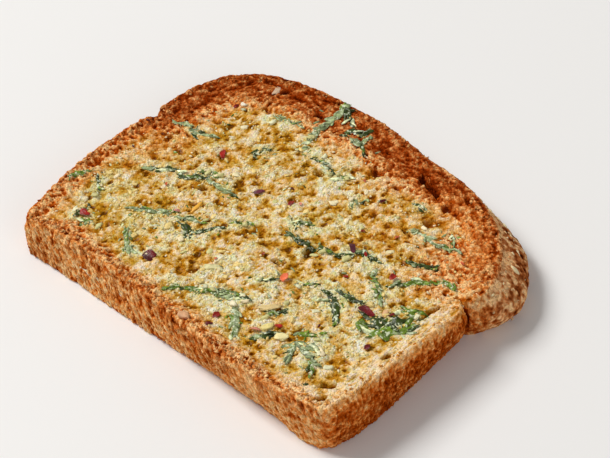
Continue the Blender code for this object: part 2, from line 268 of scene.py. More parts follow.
DARK, GREY, BRIGHT, PALE = paint(50, 64, 12), paint(136, 150, 104), paint(96, 120, 32), paint(208, 216, 168)
SHREDS = (  # (colour, width, places along it) in millimetres
    (DARK, 2.0, (-42.5, 35), (-40.5, 35.5), (-39, 37.5), (-36, 39.5)),
    (DARK, 2.2, (-35.5, 38), (-33, 38), (-29.5, 40), (-26.5, 41.5)),
    (GREY, 1.6, (-26.5, 40.5), (-20.5, 40.5), (-16, 41.5)),
    (BRIGHT, 1.2, (-30.5, 41), (-28.5, 43.5), (-25, 43.5)),
    (GREY, 2.2, (-35, 20), (-31.5, 21.5), (-29, 23.5), (-24.5, 26)),
    (GREY, 1.6, (-23, 26), (-21.5, 26.5), (-15, 29)),
    (DARK, 3.0, (-19, 25.5), (-15, 24), (-14, 22)),
    (DARK, 1.2, (-15, 23.5), (-13, 27), (-9.5, 31)),
    (BRIGHT, 1.4, (-9.5, 33.5), (-7, 34), (-4.5, 36)),
    (DARK, 1.8, (4.5, 39), (11, 39.5), (15.5, 40.5), (19.5, 40), (22.5, 42.5)),
    (DARK, 2.0, (22, 43.5), (24.5, 46), (28, 45.5), (31, 46)),
    (PALE, 1.6, (4.5, 43), (5.5, 45), (7.5, 45.5)),
    (BRIGHT, 1.8, (-5.5, 4.5), (-3, 8.5), (1.5, 10), (7.5, 14.5), (13, 15.5)),
    (GREY, 2.6, (5.5, 11.5), (9.5, 13), (12.5, 15.5)),
    (GREY, 3.0, (13, 11), (14.5, 10), (17, 8.5), (20.5, 4)),
    (DARK, 1.8, (20.5, 15), (22.5, 16.5), (24, 19.5)),
    (DARK, 2.4, (23.5, 7), (26, 9.5), (28, 11.5)),
    (BRIGHT, 2.0, (31.5, 14.5), (33.5, 16), (36, 17.5)),
    (GREY, 2.2, (34.5, 10), (34, 12.5), (35.5, 13.5), (39.5, 13)),
    (GREY, 2.0, (36, 6), (34.5, 9), (33.5, 11)),
    (GREY, 2.0, (35.5, 11.5), (39.5, 11), (42, 11)),
    (BRIGHT, 1.2, (40.5, 9.5), (43, 8), (43.5, 6)),
    (DARK, 2.6, (27, 30), (32, 28), (35.5, 24.5), (37, 22)),
    (DARK, 1.8, (29, 31.5), (33.5, 32), (37, 32)),
    (PALE, 1.2, (32, 31.5), (35, 32), (37.5, 32.5)),
    (PALE, 1.0, (27, 26.5), (30, 28)),
    (GREY, 2.2, (31, 42.5), (35, 39), (37.5, 38), (41, 35)),
    (DARK, 0.9, (10.5, 22), (13, 23.5), (15, 25.5)),
    (DARK, 0.9, (19.5, 27), (22, 28.5), (24, 30.5)),
    (GREY, 1.8, (-50.5, 52), (-47.5, 53.5), (-43.5, 52), (-41, 53), (-37.5, 54.5)),
    (DARK, 1.6, (-23.5, 55), (-24, 57.5), (-21.5, 60)),
    (GREY, 1.2, (-30, 70.5), (-27.5, 71.5), (-22.5, 72.5)),
    (DARK, 2.4, (-18, 85), (-15, 83.5), (-10.5, 80.5)),
    (GREY, 2.6, (-17.5, 84.5), (-17, 81), (-17, 76), (-17.5, 71.5)),
    (GREY, 2.0, (-16.5, 68.5), (-16.5, 71.5), (-16, 73.5)),
    (GREY, 1.5, (-16, 64), (-15, 65.5), (-14.5, 67)),
    (DARK, 2.4, (-10, 76.5), (-9, 79.5), (-5, 78.5), (-6, 82.5)),
    (GREY, 2.2, (-7.5, 76), (-3.5, 75.5), (-3.5, 79.5)),
    (DARK, 1.2, (-3.5, 76), (0.5, 73)),
    (DARK, 1.4, (-10.5, 64.5), (-8, 65), (-5, 64.5), (-1.5, 63)),
    (GREY, 1.8, (0, 62), (2, 64), (3.5, 65.5)),
    (GREY, 1.4, (11, 56), (11.5, 59.5), (12.5, 61)),
    (DARK, 1.2, (5, 42), (5.5, 44.5), (7, 46)),
    (GREY, 1.6, (28.5, 59), (32, 59.5), (38, 59), (43, 61)),
    (DARK, 1.4, (35, 50), (37.5, 50.5), (41, 51.5), (44, 53)),
    (BRIGHT, 2.0, (37.5, 41.5), (39.5, 43), (41.5, 45.5), (45, 47.5), (47.5, 50.5), (52.5, 49)),
    (BRIGHT, 4.6, (40.5, 28), (43, 25.8), (47, 27), (50.5, 31), (51.5, 35)),
    (DARK, 5.0, (41.5, 30), (45, 29.5), (48, 31.5), (49.5, 35)),
    (BRIGHT, 3.2, (46, 36), (49, 37.5), (51.5, 37)),
    (DARK, 1.8, (-50.5, 23), (-48, 21.5), (-46, 20)),
    (BRIGHT, 1.6, (-56.5, 18.5), (-55.5, 21.5), (-53.5, 24)),
    (BRIGHT, 2.2, (-41.5, 9), (-39.5, 8.5), (-40, 11)),
    (DARK, 2.2, (-44, 10), (-45, 12), (-44, 14)),
    (GREY, 2.2, (-30.5, 15), (-26, 11.5), (-21.5, 8)),
    (GREY, 1.4, (23.5, 68), (25.5, 67.5), (27, 67.5)),
    (GREY, 1.4, (38, 64.5), (39.5, 63), (41.5, 61.5)),
    (PALE, 0.9, (3, 42.5), (6, 42.5)),
)
STAIN_REACH = 2.6


def smooth_line(points):
    """The line through the points with its corners cut off three times, at a quarter of each side."""
    line = np.array(points, float)
    for _ in range(3):
        cut = np.empty((2 * len(line), 2))
        cut[0], cut[-1] = line[0], line[-1]
        cut[1:-1:2], cut[2:-1:2] = line[:-1] * 0.75 + line[1:] * 0.25, line[:-1] * 0.25 + line[1:] * 0.75
        line = cut
    return line


def herb_stain(x, y):
    """1 where a shred lies, falling off as a bell shape over a few millimetres."""
    nearest = np.full(np.shape(x), 99.0)
    for _, _, *places in SHREDS:
        for px, py in share_out(smooth_line(places), 8):
            nearest = np.minimum(nearest, np.hypot(x - px, y - py))
    return np.exp(-((nearest / STAIN_REACH) ** 2))


print(len(SHREDS), "main shreds of herb")


# %% [markdown]
# ## Two kinds of noise
#
# Bread is a foam, so its texture is worked out in space and the surface cuts through it. Grain is a
# cloudy number that changes over a given size. Pits are bubbles: each cell of a lattice holds one
# sphere of random size and place, and a point inside a sphere is a pit as deep as the sphere is there.
# Blender has both as shader textures, but here they must move vertices, so numpy works them out. The
# seed in each call only picks another pattern of the same kind.

# %% Random numbers on a lattice
def hashed(cell, seed):
    """A number from 0 to 1 for each whole-numbered cell: its indices times large odd numbers,
    mixed by shifts and multiplications."""
    c = cell.astype(np.int64).astype(np.uint32)
    h = c[..., 0] * np.uint32(73856093) ^ c[..., 1] * np.uint32(19349663) ^ c[..., 2] * np.uint32(83492791)
    h = h ^ np.uint32(seed * 2654435761 % 2**32)
    for shift, factor in ((15, 2246822519), (13, 3266489917), (16, 668265263)):
        h = (h ^ (h >> np.uint32(shift))) * np.uint32(factor)
    return (h >> np.uint32(8)) / float(2**24)


def at_level(x, y, level=0.0):
    """Points in space from places on a face: each level is another cut through the same foam."""
    return np.stack([x, y, np.full_like(x, level)], axis=-1)


CORNERS = [np.array([i, j, k]) for i in (0, 1) for j in (0, 1) for k in (0, 1)]
TILT = np.array([[0.8, 0.48, 0.36], [-0.6, 0.64, 0.48], [0.0, -0.6, 0.8]])  # turns the lattice


def grain(points, size, seed):
    """Cloudy noise from -1 to 1: the eight corners of each point's cell, blended smoothly."""
    p = points @ TILT / size + 0.37 * seed
    cell = np.floor(p)
    share = p - cell
    share = share * share * (3 - 2 * share)
    total = 0.0
    for corner in CORNERS:
        weight = np.prod(np.where(corner, share, 1 - share), axis=-1)
        total = total + weight * hashed(cell + corner, seed)
    return total * 2 - 1


def pits(points, size, seed, share=0.7, smallest=0.2):
    """Depth in millimetres below the surface of bubbles in a lattice of that size. A share of the
    cells hold a bubble, whose radius is from smallest to 0.5 of the size. Depth is the square root
    of radius squared less distance squared, and the deepest bubble counts."""
    p = points @ TILT / size + 0.61 * seed
    near = np.floor(p - 0.5)
    deepest = np.zeros(p.shape[:-1])
    for corner in CORNERS:
        cell = near + corner
        centre = cell + np.stack([hashed(cell, seed * 7 + k) for k in (1, 2, 3)], axis=-1)
        pick = hashed(cell, seed * 7 + 4)
        radius = np.where(pick < share, smallest + (0.5 - smallest) * (pick / share) ** 1.5, 0.0)
        depth = radius**2 - np.sum((p - centre) ** 2, axis=-1)
        deepest = np.maximum(deepest, depth)
    return np.sqrt(deepest) * size


def warped(points, size, amount, seed):
    """The same points, each moved by cloudy noise, so that what is worked out there is ragged."""
    return points + amount * np.stack([grain(points, size, seed + k) for k in (1, 2, 3)], axis=-1)


def threads(points, size, seed):
    """1 on the thin sheets where cloudy noise passes through zero, falling to 0 away from them."""
    return 1 - (2.2 * np.abs(grain(points, size, seed))).clip(0.0, 1.0)


walk_by_steps = at_level(np.arange(0.0, 60.0, 0.5), np.zeros(120))
in_bubbles = (pits(walk_by_steps, 1.0, 1) > 0).mean()
print(f"grain spreads by {grain(walk_by_steps, 1.0, 1).std():.2f}, and bubbles take {in_bubbles:.0%}")


# %% [markdown]
# ## How toasted is it?
#
# The heat browned the rim most, in a wide band along the dome and a narrow one elsewhere, and one
# shoulder far into the slice. The browning could be painted by hand, but as one function of the place
# it also tells the relief where the crumb is crisp, so that shape and colour agree.

# %% The toasting of the upper face
BAND_WIDTH, BAND_STRENGTH = 3.8, 0.67
BAND_CHANGES = {"dome": (6.0, 0.18), "crown": (3.2, 0.35), "left": (3.0, 0.03), "right": (-1.8, -0.41)}
BAND_FALL, CROWN_FALL = 2.6, 0.7  # how sharply the band ends, and how much sharper at the crown
SHOULDER_SCORCH, SCORCH_REACH, SCORCH_STRENGTH = (52.0, 60.0), 17.0, 0.6
SCORCH_HALO, SCORCH_HALO_STRENGTH = 1.8, 0.22
DARK_EDGE_WIDTH, DARK_EDGE_STRENGTH = 1.6, 0.3
LEFT_GLOW, LEFT_GLOW_STRENGTH = (-50.0, 47.0, 12.5), 0.36  # x, y and reach, by the left crease


def bell(x, y, middle_x, middle_y, reach):
    """1 at a place, falling off as exp(-(distance / reach)^2)."""
    return np.exp(-((np.hypot(x - middle_x, y - middle_y) / reach) ** 2))


def parts_of_face(x, y):
    """How much of the dome, its crown, the left side and the right side there is at a place."""
    dome = smooth_step(y, 40.0, 62.0)
    crown = dome * (1 - smooth_step(x, 10.0, 45.0))
    left = smooth_step(-x, 20.0, 50.0) * (1 - dome)
    right = smooth_step(x, 40.0, 56.0) * (1 - dome)
    return {"dome": dome, "crown": crown, "left": left, "right": right}


def toasting(x, y):
    """From 0, soft and pale, to 1, nearly burnt. A band along the rim, strength times
    exp(-(gap / width)^fall), differs by side. The greater of it and of the scorch on one shoulder, its
    halo and the glow by the left crease counts, and a dark edge and some cloudiness are added."""
    gap = rim_distance(x, y).clip(0.0)
    parts = parts_of_face(x, y)
    flat = at_level(x, y)
    width, strength = BAND_WIDTH, BAND_STRENGTH
    for part, (wider, stronger) in BAND_CHANGES.items():
        width, strength = width + wider * parts[part], strength + stronger * parts[part]
    width = width + 1.6 * grain(flat, 5.0, 11)
    band = strength * np.exp(-((gap / width) ** (BAND_FALL + CROWN_FALL * parts["crown"])))
    away = np.hypot(x - SHOULDER_SCORCH[0], y - SHOULDER_SCORCH[1]) / SCORCH_REACH
    halo = SCORCH_HALO_STRENGTH * smooth_step(y, 38.0, 60.0) * np.exp(-((away / SCORCH_HALO) ** 2))
    glow = np.maximum(halo, LEFT_GLOW_STRENGTH * bell(x, y, *LEFT_GLOW))
    scorch = SCORCH_STRENGTH * np.exp(-(away**3)) * smooth_step(y, 36.0, 48.0)
    fading = 1 - 0.6 * smooth_step(x, 35.0, 50.0)
    edge = DARK_EDGE_STRENGTH * parts["dome"] * fading * np.exp(-((gap / DARK_EDGE_WIDTH) ** 2))
    clouds = 0.07 * grain(flat, 6.0, 12) + 0.1 * grain(flat, 2.0, 13)
    return np.clip(np.maximum(band, np.maximum(scorch, glow)) + edge + clouds, 0.0, 1.0)


at_middle, at_crown = toasting(*np.array([middle, (CROWN_OFFSET, 83.0)]).T)
print(f"toasting is {at_middle:.2f} in the middle and {at_crown:.2f} by the crown")


# %% [markdown]
# ## The crumb's relief
#
# The cut crumb is bubbles of many sizes, and the knife opened some of them. Where oil soaked in, they
# are smooth amber cups between pale walls. Where the heat dried the crumb, the walls are a crisp fine
# net with orange holes. Along the rim the bubbles were pressed flat and lie in layers. One cloud
# texture for all would look like plaster. So there are three recipes, each read at places that are
# shaken a little, so that nothing is round or straight, and each gives two things: how high the crumb
# stands, in millimetres, and how hollow it looks, which later picks its colour. The hollower, the
# darker: partly the crumb's own amber and orange, partly painted shade in the holes.

# %% Three recipes for cut crumb
WELL_SIZE, CUP_SIZE, CELL_SIZE = 3.8, 2.1, 1.15
CRISP_MESH, CRISP_FINE_MESH = 1.7, 1.0


def soft_crumb(points):
    """How far the oily crumb stands above its plain face, and how hollow it is there, from 0 to 1:
    cups of three sizes are sunk into it, and the walls between them are the grainiest. Cloudy patches
    soaked up more oil, and count as hollow though they aren't deep."""
    shaken = warped(points, 1.5, 0.5, 20)
    wells = pits(shaken, WELL_SIZE, 21, share=0.34)
    cups = pits(shaken, CUP_SIZE, 22, share=0.65)
    cells = pits(shaken, CELL_SIZE, 23, share=0.8)
    soft = smooth_step(grain(shaken, 1.9, 27) + 0.4 * grain(points, 1.0, 28), -0.05, 0.5)
    soaked = grain(shaken, 3.4, 29) + 0.6 * grain(shaken, 1.5, 19)
    inside = (0.9 * wells + 1.2 * cups).clip(0.0, 1.0)
    rough = 0.3 * grain(points, 1.1, 25) + 0.16 * grain(points, 0.55, 26)
    rough = 0.24 * grain(points, 2.0, 24) + (1 - 0.4 * inside) * rough
    amber = smooth_step(cups, 0.12, 0.6) + 0.6 * smooth_step(cells, 0.08, 0.36) * (1 - inside)
    hollow = 0.25 + 0.2 * soft + 0.46 * wells + 0.72 * amber + 0.32 * soaked - 0.9 * rough
    return rough - 0.24 * wells - 0.46 * cups - 0.6 * cells - 0.12 * soft, hollow.clip(0.0, 1.0)


def crisp_crumb(points):
    """The same for the toasted crumb: a net of thin walls, where two sizes of threads pass, stands up
    between holes that are the hollower the further they are from a wall."""
    shaken = warped(points, 0.9, 0.3, 30)
    net = np.maximum(threads(shaken, CRISP_MESH, 33), 0.85 * threads(shaken, CRISP_FINE_MESH, 34))
    holes = pits(shaken, CRISP_MESH, 35, share=0.6)
    rough = 0.2 * grain(points, 1.6, 36) + 0.3 * grain(points, 0.8, 37) + 0.3 * grain(points, 0.5, 38)
    hollow = 0.72 - 0.95 * net + 1.2 * holes - 0.45 * rough
    return 0.7 * net - 1.0 * holes - 0.25 + rough, hollow.clip(0.0, 1.0)


def layered_crumb(walk, gap, stretch, size):
    """The same for the crumb that was pressed against the crust. The net and its holes are laid out by
    the walk along the rim, divided by stretch, and the gap to it, so that they are long and narrow."""
    points = at_level(walk / stretch, gap, 3.0)
    shaken = warped(points, 1.6 * size, 0.5 * size, 61)
    net = np.maximum(threads(shaken, 1.9 * size, 64), 0.8 * threads(shaken, 1.0 * size, 66))
    holes = pits(shaken, 2.2 * size, 62, share=0.55) / size
    rough = 0.22 * grain(points, 0.8, 65) + 0.16 * grain(points, 0.45, 67)
    hollow = 0.68 - 0.75 * net + 0.75 * holes - 0.5 * rough
    return (0.3 + 0.7 * size) * (0.55 * net - 0.8 * holes) - 0.15 + rough, hollow.clip(0.0, 1.0)


heights, hollows = soft_crumb(walk_by_steps)
print(f"soft crumb: {heights.std():.2f} mm rough, {hollows.mean():.2f} hollow on average")

# %% [markdown]
# ## The upper face, all together
#
# On the real slice these kinds of crumb run into each other, and garlic spread fills some of the cups.
# Separate meshes would show their seams, so the kinds are blended by weights that change smoothly: crisp
# where it is toasted, layered near the rim, filled where the spread lies, and hollow where oil pooled.
# The deepest pores are cut last, where the solid slice has them.

# %% Blend the kinds of crumb
LAYERS = (  # (part of the face, stretch, size, reach in from the rim, how much paler)
    ("dome", 2.9, 0.85, 12.0, -0.08), ("right", 3.6, 0.6, 8.0, 0.34),
)
OIL_POOLS = (  # (x, y, reach, share) of places where more oil soaked in, or less
    (24.0, 64.5, 7.0, 0.16), (-36.0, 20.5, 8.0, 0.2), (-17.5, 31.5, 6.0, 0.08), (46.0, 34.0, 6.0, 0.12),
    (46.0, 7.0, 9.0, -0.14),
)
LUMP_SIZE = 2.4
SPECK = 0.25


def between(share, first, second):
    """first + share (second - first)."""
    return first + (second - first) * share


def rim_place(x, y):
    """Millimetres along the rim to the piece of rim behind a point."""
    angle = np.arctan2(y - middle[1], x - middle[0])
    return np.interp(angle, rim_angle, rim_walk[:-1], period=2 * math.pi)


def spread(x, y):
    """How much garlic spread lies there, from 0 to 1: cloudy patches, more round the herb, none near
    the rim."""
    flat = at_level(x, y, 40.0)
    patches = grain(warped(flat, 2.5, 0.9, 71), 4.0, 72) + 0.6 * grain(flat, 1.8, 73)
    patches = patches + 0.4 * herb_stain(x, y)
    return smooth_step(patches, 0.05, 0.6) * smooth_step(rim_distance(x, y), 3.0, 9.0)


def with_layers(relief, hollow, x, y, gap):
    """Layered crumb blended in along the dome and the right side, fading out at its reach."""
    walk = rim_place(x, y)
    dome = smooth_step(y, 52.0, 66.0)
    right = (1 - smooth_step(y, 40.0, 50.0)) * smooth_step(x, 34.0, 44.0)
    weights = {"dome": dome, "right": right}
    for part, stretch, size, reach, paler in LAYERS:
        layer_relief, layer_hollow = layered_crumb(walk, gap, stretch, size)
        layered = 0.85 * weights[part] * (1 - smooth_step(gap, 0.5 * reach, reach))
        relief = between(layered, relief, layer_relief)
        hollow = between(layered, hollow, layer_hollow - paler)
    return relief, hollow


def with_pores(relief, hollow, flat):
    """The deep pores cut in: a bowl of depth times sqrt(1 - (distance / radius)^2), where the distance
    is to the line from the pore's one end to its other."""
    shaken = warped(flat, 1.6, 0.5, 76)
    for start, end, radius, depth in PORES:
        start, run = np.array(start), np.subtract(end, start)
        share = (((shaken[..., :2] - start) @ run) / (run @ run)).clip(0.0, 1.0)
        away = np.linalg.norm(shaken[..., :2] - start - share[..., None] * run, axis=-1) / radius
        bowl = np.sqrt((1 - away**2).clip(0.0))
        relief = between(smooth_step(bowl, 0.0, 0.4), relief, -depth * bowl)
        # The bowl is made hollower, and so darker: partly amber crumb, partly painted shade in the pore.
        hollow = between(smooth_step(bowl, 0.0, 0.6), hollow, 0.5 + 0.4 * bowl)
    return relief, hollow


def top_texture(x, y):
    """Relief of the upper face, and the numbers for its material: toasting, hollowness, oil, garlic
    spread and the herb's tint. Spread lifts the crumb and makes it even, and has lumps of its own."""
    toasted = toasting(x, y)
    flat = at_level(x, y)
    gap = rim_distance(x, y)
    relief, hollow = soft_crumb(flat)
    crisp_relief, crisp_hollow = crisp_crumb(flat)
    crisp = smooth_step(toasted, 0.12, 0.4)
    relief, hollow = between(crisp, relief, crisp_relief), between(crisp, hollow, crisp_hollow)
    relief, hollow = with_layers(relief, hollow + 0.2 * bell(x, y, *LEFT_GLOW), x, y, gap)
    pools = sum(share * bell(x, y, *place) for *place, share in OIL_POOLS)
    paste = spread(x, y) * (1 - crisp) * (1 - 2.5 * pools.clip(0.0))
    lumps = pits(warped(flat, 1.0, 0.9, 74), LUMP_SIZE, 75, share=0.45) * paste
    relief = relief + (0.25 + 0.25 * grain(flat, 1.3, 77) - 0.4 * relief) * paste * 0.8 + 0.6 * lumps
    hollow = hollow * (1 - 0.5 * paste) - 1.1 * lumps - 0.2 * paste * grain(flat, 1.1, 77) + pools
    relief, hollow = with_pores(relief, hollow, flat)
    speck = hashed(np.floor(flat / SPECK), 77) - 0.5
    low_left = smooth_step(-x, 10.0, 45.0) * (1 - smooth_step(y, 45.0, 65.0))
    oily = smooth_step(gap + 2.5 * grain(flat, 7.0, 15), 3.0, 9.0) * (1 - 1.4 * toasted).clip(0.0, 1.0)
    herby = 0.35 * low_left + 0.5 * grain(flat, 3.0, 78) + 0.8 * herb_stain(x, y)
    numbers = {
        "toasted": toasted, "hollow": (hollow - 0.12 * speck).clip(0.0, 1.0), "oily": oily,
        "paste": paste, "herby": herby.clip(0.0, 1.0),
    }
    return relief + 0.08 * speck, numbers


# %% [markdown]
# ## Making meshes from arrays
#
# Blender's own tools build a mesh face by face, which is slow for surfaces as fine as bread. Each
# surface below is a grid of points instead, so one helper hands whole arrays of points and faces to
# the mesh. It also stores numbers at the points, such as how toasted each is, for the materials.

# %% Helpers that make the meshes
def add_piece(name, points, faces, material, **numbers):
    """A mesh object from points in millimetres and a list of face arrays, one for each corner count."""
    mesh = bpy.data.meshes.new(name)
    points = np.asarray(points, float).reshape(-1, 3)
    placed = (points - np.array([box_middle[0], box_middle[1], 0.0])) / 1000
    corners = np.concatenate([f.ravel() for f in faces]).astype(np.int32)
    counts = np.concatenate([np.full(len(f), f.shape[1], np.int32) for f in faces])
    mesh.vertices.add(len(placed))
    mesh.vertices.foreach_set("co", placed.ravel())
    mesh.loops.add(len(corners))
    mesh.loops.foreach_set("vertex_index", corners)
    mesh.polygons.add(len(counts))
    mesh.polygons.foreach_set("loop_start", np.r_[0, np.cumsum(counts)[:-1]].astype(np.int32))
    for key, values in numbers.items():
        kind, part = ("FLOAT_COLOR", "color") if np.ndim(values) > 1 else ("FLOAT", "value")
        layer = mesh.attributes.new(key, kind, "POINT")
        layer.data.foreach_set(part, values.astype(np.float32).ravel())
    mesh.update(calc_edges=True)
    mesh.shade_smooth()
    mesh.materials.append(material)
    piece = bpy.data.objects.new(name, mesh)
    bpy.context.scene.collection.objects.link(piece)
    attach(piece, "root")
    print(f"{name}: {len(placed)} points, {int((counts - 2).sum())} triangles")
    return piece


def grid_faces(rows, columns, wrap_rows=False, wrap_columns=False):
    """Quads of a grid of points, row by row. A wrapped direction joins its last line to its first."""
    r = np.arange(rows if wrap_rows else rows - 1)[:, None]
    c = np.arange(columns if wrap_columns else columns - 1)[None, :]
    next_r, next_c = (r + 1) % rows, (c + 1) % columns
    corners = [r * columns + c, r * columns + next_c, next_r * columns + next_c, next_r * columns + c]
    return np.stack(corners, axis=-1).reshape(-1, 4)


# %% [markdown]
# ## The material of the bread
#
# Crumb and crust are one dough, so one recipe serves both. A painted picture could give the colours,
# but it would stretch over the pits and hold light that belongs to one view. Here the mesh carries
# seven numbers instead: how toasted, hollow, oily, crusty, covered with spread, tinted by herb and
# fibrous each point is. Colour ramps turn hollowness into colour, one ramp for each degree of toasting,
# and a second set of factors varies the hue a little. The ramps darken towards the bottoms of holes:
# partly the crumb's own amber and brown, and partly painted shade in holes, pores and cracks. Fine
# noise on the object's own coordinates adds the grain that is too small for the mesh: packed grains on
# the crumb, strands on the base wall.

# %% Node helpers
FACTOR, FIRST_COLOUR, SECOND_COLOUR, MIXED_COLOUR = 0, 6, 7, 2  # sockets of a Mix node for colours


def new_material(name):
    """An empty material, its node tree and its shader."""
    material = bpy.data.materials.new(name)
    material.use_nodes = True
    return material, material.node_tree, material.node_tree.nodes["Principled BSDF"]


def add_node(tree, kind, **settings):
    """A node of that kind. Each setting is one of its properties, or else the value of an input."""
    made = tree.nodes.new(kind)
    for key, value in settings.items():
        if hasattr(made, key):
            setattr(made, key, value)
        else:
            made.inputs[key.replace("_", " ")].default_value = value
    return made


def attribute(tree, name):
    """The number of that name that the mesh carries."""
    return add_node(tree, "ShaderNodeAttribute", attribute_name=name).outputs["Fac"]


def math_node(tree, operation, first, second, clamp=False):
    """The result of one sum, where each term is a number or another node's output."""
    made = tree.nodes.new("ShaderNodeMath")
    made.operation, made.use_clamp = operation, clamp
    for socket, value in zip(made.inputs, (first, second)):
        if isinstance(value, (int, float)):
            socket.default_value = value
        else:
            tree.links.new(value, socket)
    return made.outputs[0]


def swing(tree, value, share):
    """(value - 0.5) times share: how far a number from 0 to 1 swings from its middle."""
    return math_node(tree, "MULTIPLY", math_node(tree, "SUBTRACT", value, 0.5), share)


def ramp(tree, factor, stops):
    """A colour ramp from (place, colour) stops."""
    made = tree.nodes.new("ShaderNodeValToRGB")
    elements = made.color_ramp.elements
    while len(elements) < len(stops):
        elements.new(0.5)
    for element, (place, colour) in zip(elements, stops):
        element.position, element.color = place, colour
    tree.links.new(factor, made.inputs["Fac"])
    return made.outputs["Color"]


def mix(tree, factor, first, second, how="MIX"):
    """The first colour with a factor of the second mixed in, or multiplied in."""
    made = tree.nodes.new("ShaderNodeMix")
    made.data_type, made.blend_type = "RGBA", how
    for key, value in ((FACTOR, factor), (FIRST_COLOUR, first), (SECOND_COLOUR, second)):
        if isinstance(value, (int, float, tuple)):
            made.inputs[key].default_value = value
        else:
            tree.links.new(value, made.inputs[key])
    return made.outputs[MIXED_COLOUR]


def noise(tree, size_mm, detail=2.0, roughness=0.6):
    """Blender's cloud texture on the object's own coordinates, with features of that size."""
    scale = 1000.0 / size_mm
    made = add_node(tree, "ShaderNodeTexNoise", Scale=scale, Detail=detail, Roughness=roughness)
    place = tree.nodes.new("ShaderNodeTexCoord")
    tree.links.new(place.outputs["Object"], made.inputs["Vector"])
    return made.outputs["Fac"]


def strands(tree, size_mm, lean, stretch):
    """The cloud texture drawn out into strands: the object's coordinates are turned about y by the
    strands' lean from upright, and divided by the stretch along them. Its contrast is raised 2.4 times."""
    made = add_node(tree, "ShaderNodeTexNoise", Scale=1000.0 / size_mm, Detail=2.0, Roughness=0.6)
    place = tree.nodes.new("ShaderNodeTexCoord")
    drawn = add_node(tree, "ShaderNodeMapping", vector_type="TEXTURE", Scale=(1.0, 1.0, stretch))
    drawn.inputs["Rotation"].default_value = (0.0, lean, 0.0)
    tree.links.new(place.outputs["Object"], drawn.inputs["Vector"])
    tree.links.new(drawn.outputs["Vector"], made.inputs["Vector"])
    return math_node(tree, "ADD", swing(tree, made.outputs["Fac"], 2.4), 0.5, clamp=True)


def blend_numbers(tree, share, first, second):
    """first + share (second - first), of two numbers."""
    change = math_node(tree, "MULTIPLY", share, math_node(tree, "SUBTRACT", second, first))
    return math_node(tree, "ADD", first, change)


def grains(tree, size_mm):
    """Packed grains of that size: a random tone for each grain, and the distance from its middle."""
    made = add_node(tree, "ShaderNodeTexVoronoi", Scale=1000.0 / size_mm)
    place = tree.nodes.new("ShaderNodeTexCoord")
    split = tree.nodes.new("ShaderNodeSeparateColor")
    tree.links.new(place.outputs["Object"], made.inputs["Vector"])
    tree.links.new(made.outputs["Color"], split.inputs["Color"])
    return split.outputs[0], made.outputs["Distance"]


def bump(tree, shader, height, distance_mm, strength):
    """The shader's surface made to look raised by height times the distance."""
    made = add_node(tree, "ShaderNodeBump", Strength=strength, Distance=distance_mm / 1000)
    tree.links.new(height, made.inputs["Height"])
    tree.links.new(made.outputs["Normal"], shader.inputs["Normal"])


# %% The bread material
# The ramps darken towards the bottoms of holes: partly the crumb's own amber and brown, partly painted shade.
SOAKED = (  # from the tips of the crumb's walls to the bottoms of its holes
    (0.0, paint(252, 232, 202)), (0.25, paint(238, 204, 142)), (0.5, paint(214, 164, 60)),
    (0.75, paint(182, 120, 8)), (1.0, paint(114, 66, 2)),
)
GARLIC = (
    (0.0, paint(250, 246, 224)), (0.3, paint(238, 226, 174)), (0.65, paint(204, 168, 76)),
    (1.0, paint(142, 102, 12)),
)
GOLDEN = (
    (0.0, paint(255, 212, 156)), (0.25, paint(240, 160, 86)), (0.6, paint(196, 90, 18)),
    (1.0, paint(118, 34, 0)),
)
SCORCHED = (
    (0.0, paint(226, 168, 112)), (0.2, paint(188, 104, 48)), (0.5, paint(144, 54, 8)),
    (1.0, paint(60, 10, 0)),
)
OUTER = (
    (0.0, paint(246, 200, 150)), (0.35, paint(188, 116, 68)), (0.7, paint(126, 62, 26)),
    (1.0, paint(60, 20, 4)),
)
GRAIN_SHADES = ((0.29, (0.6, 0.49, 0.36, 1.0)), (0.71, (1.36, 1.34, 1.26, 1.0)))  # factors
HERB_TINT = (0.87, 0.93, 0.74, 1.0)
HUES = (  # orange, yellow, milky and green, as factors
    (0.36, (1.07, 0.94, 0.7, 1.0)), (0.46, (1.02, 1.0, 0.78, 1.0)), (0.54, (1.01, 0.99, 1.2, 1.0)),
    (0.64, (0.93, 1.03, 0.9, 1.0)),
)


BREAD_NUMBERS = ("toasted", "hollow", "oily", "crusty", "paste", "herby", "fibrous")


def bread_depth(tree, hollow, blotch, fine, thick_strands, crusty, fibrous):
    """Hollowness with the noise that the mesh is too coarse for: 0.9 of a blotch and 0.6 of fine noise,
    less 1.1 of the strands where it is fibrous, and 1.1 more of the blotch on the outer crust."""
    wobble = math_node(tree, "ADD", swing(tree, blotch, 0.9), swing(tree, fine, 0.6))
    drawn_out = math_node(tree, "MULTIPLY", swing(tree, thick_strands, fibrous), 1.1)
    mottled = math_node(tree, "MULTIPLY", swing(tree, blotch, crusty), 1.1)
    wobble = math_node(tree, "SUBTRACT", wobble, drawn_out)
    wobble = math_node(tree, "ADD", wobble, mottled)
    return math_node(tree, "ADD", hollow, wobble, clamp=True)


def bread_colour(tree, depth, toasted, paste, herby, crusty):
    """The ramps mixed: soaked or garlicky, then golden up to half toasted and scorched beyond it, then
    the outer crust's. A hue factor is multiplied in, at a quarter of its strength once it is golden."""
    pale_to_gold = math_node(tree, "MULTIPLY", toasted, 2.0, clamp=True)
    twice = math_node(tree, "MULTIPLY", toasted, 2.0)
    gold_to_dark = math_node(tree, "SUBTRACT", twice, 1.0, clamp=True)
    colour = mix(tree, paste, ramp(tree, depth, SOAKED), ramp(tree, depth, GARLIC))
    colour = mix(tree, herby, colour, HERB_TINT, "MULTIPLY")
    colour = mix(tree, pale_to_gold, colour, ramp(tree, depth, GOLDEN))
    colour = mix(tree, gold_to_dark, colour, ramp(tree, depth, SCORCHED))
    colour = mix(tree, crusty, colour, ramp(tree, depth, OUTER))
    soft = math_node(tree, "SUBTRACT", 1.0, math_node(tree, "MULTIPLY", pale_to_gold, 0.75))
    return mix(tree, soft, colour, ramp(tree, noise(tree, 1.3), HUES), "MULTIPLY")


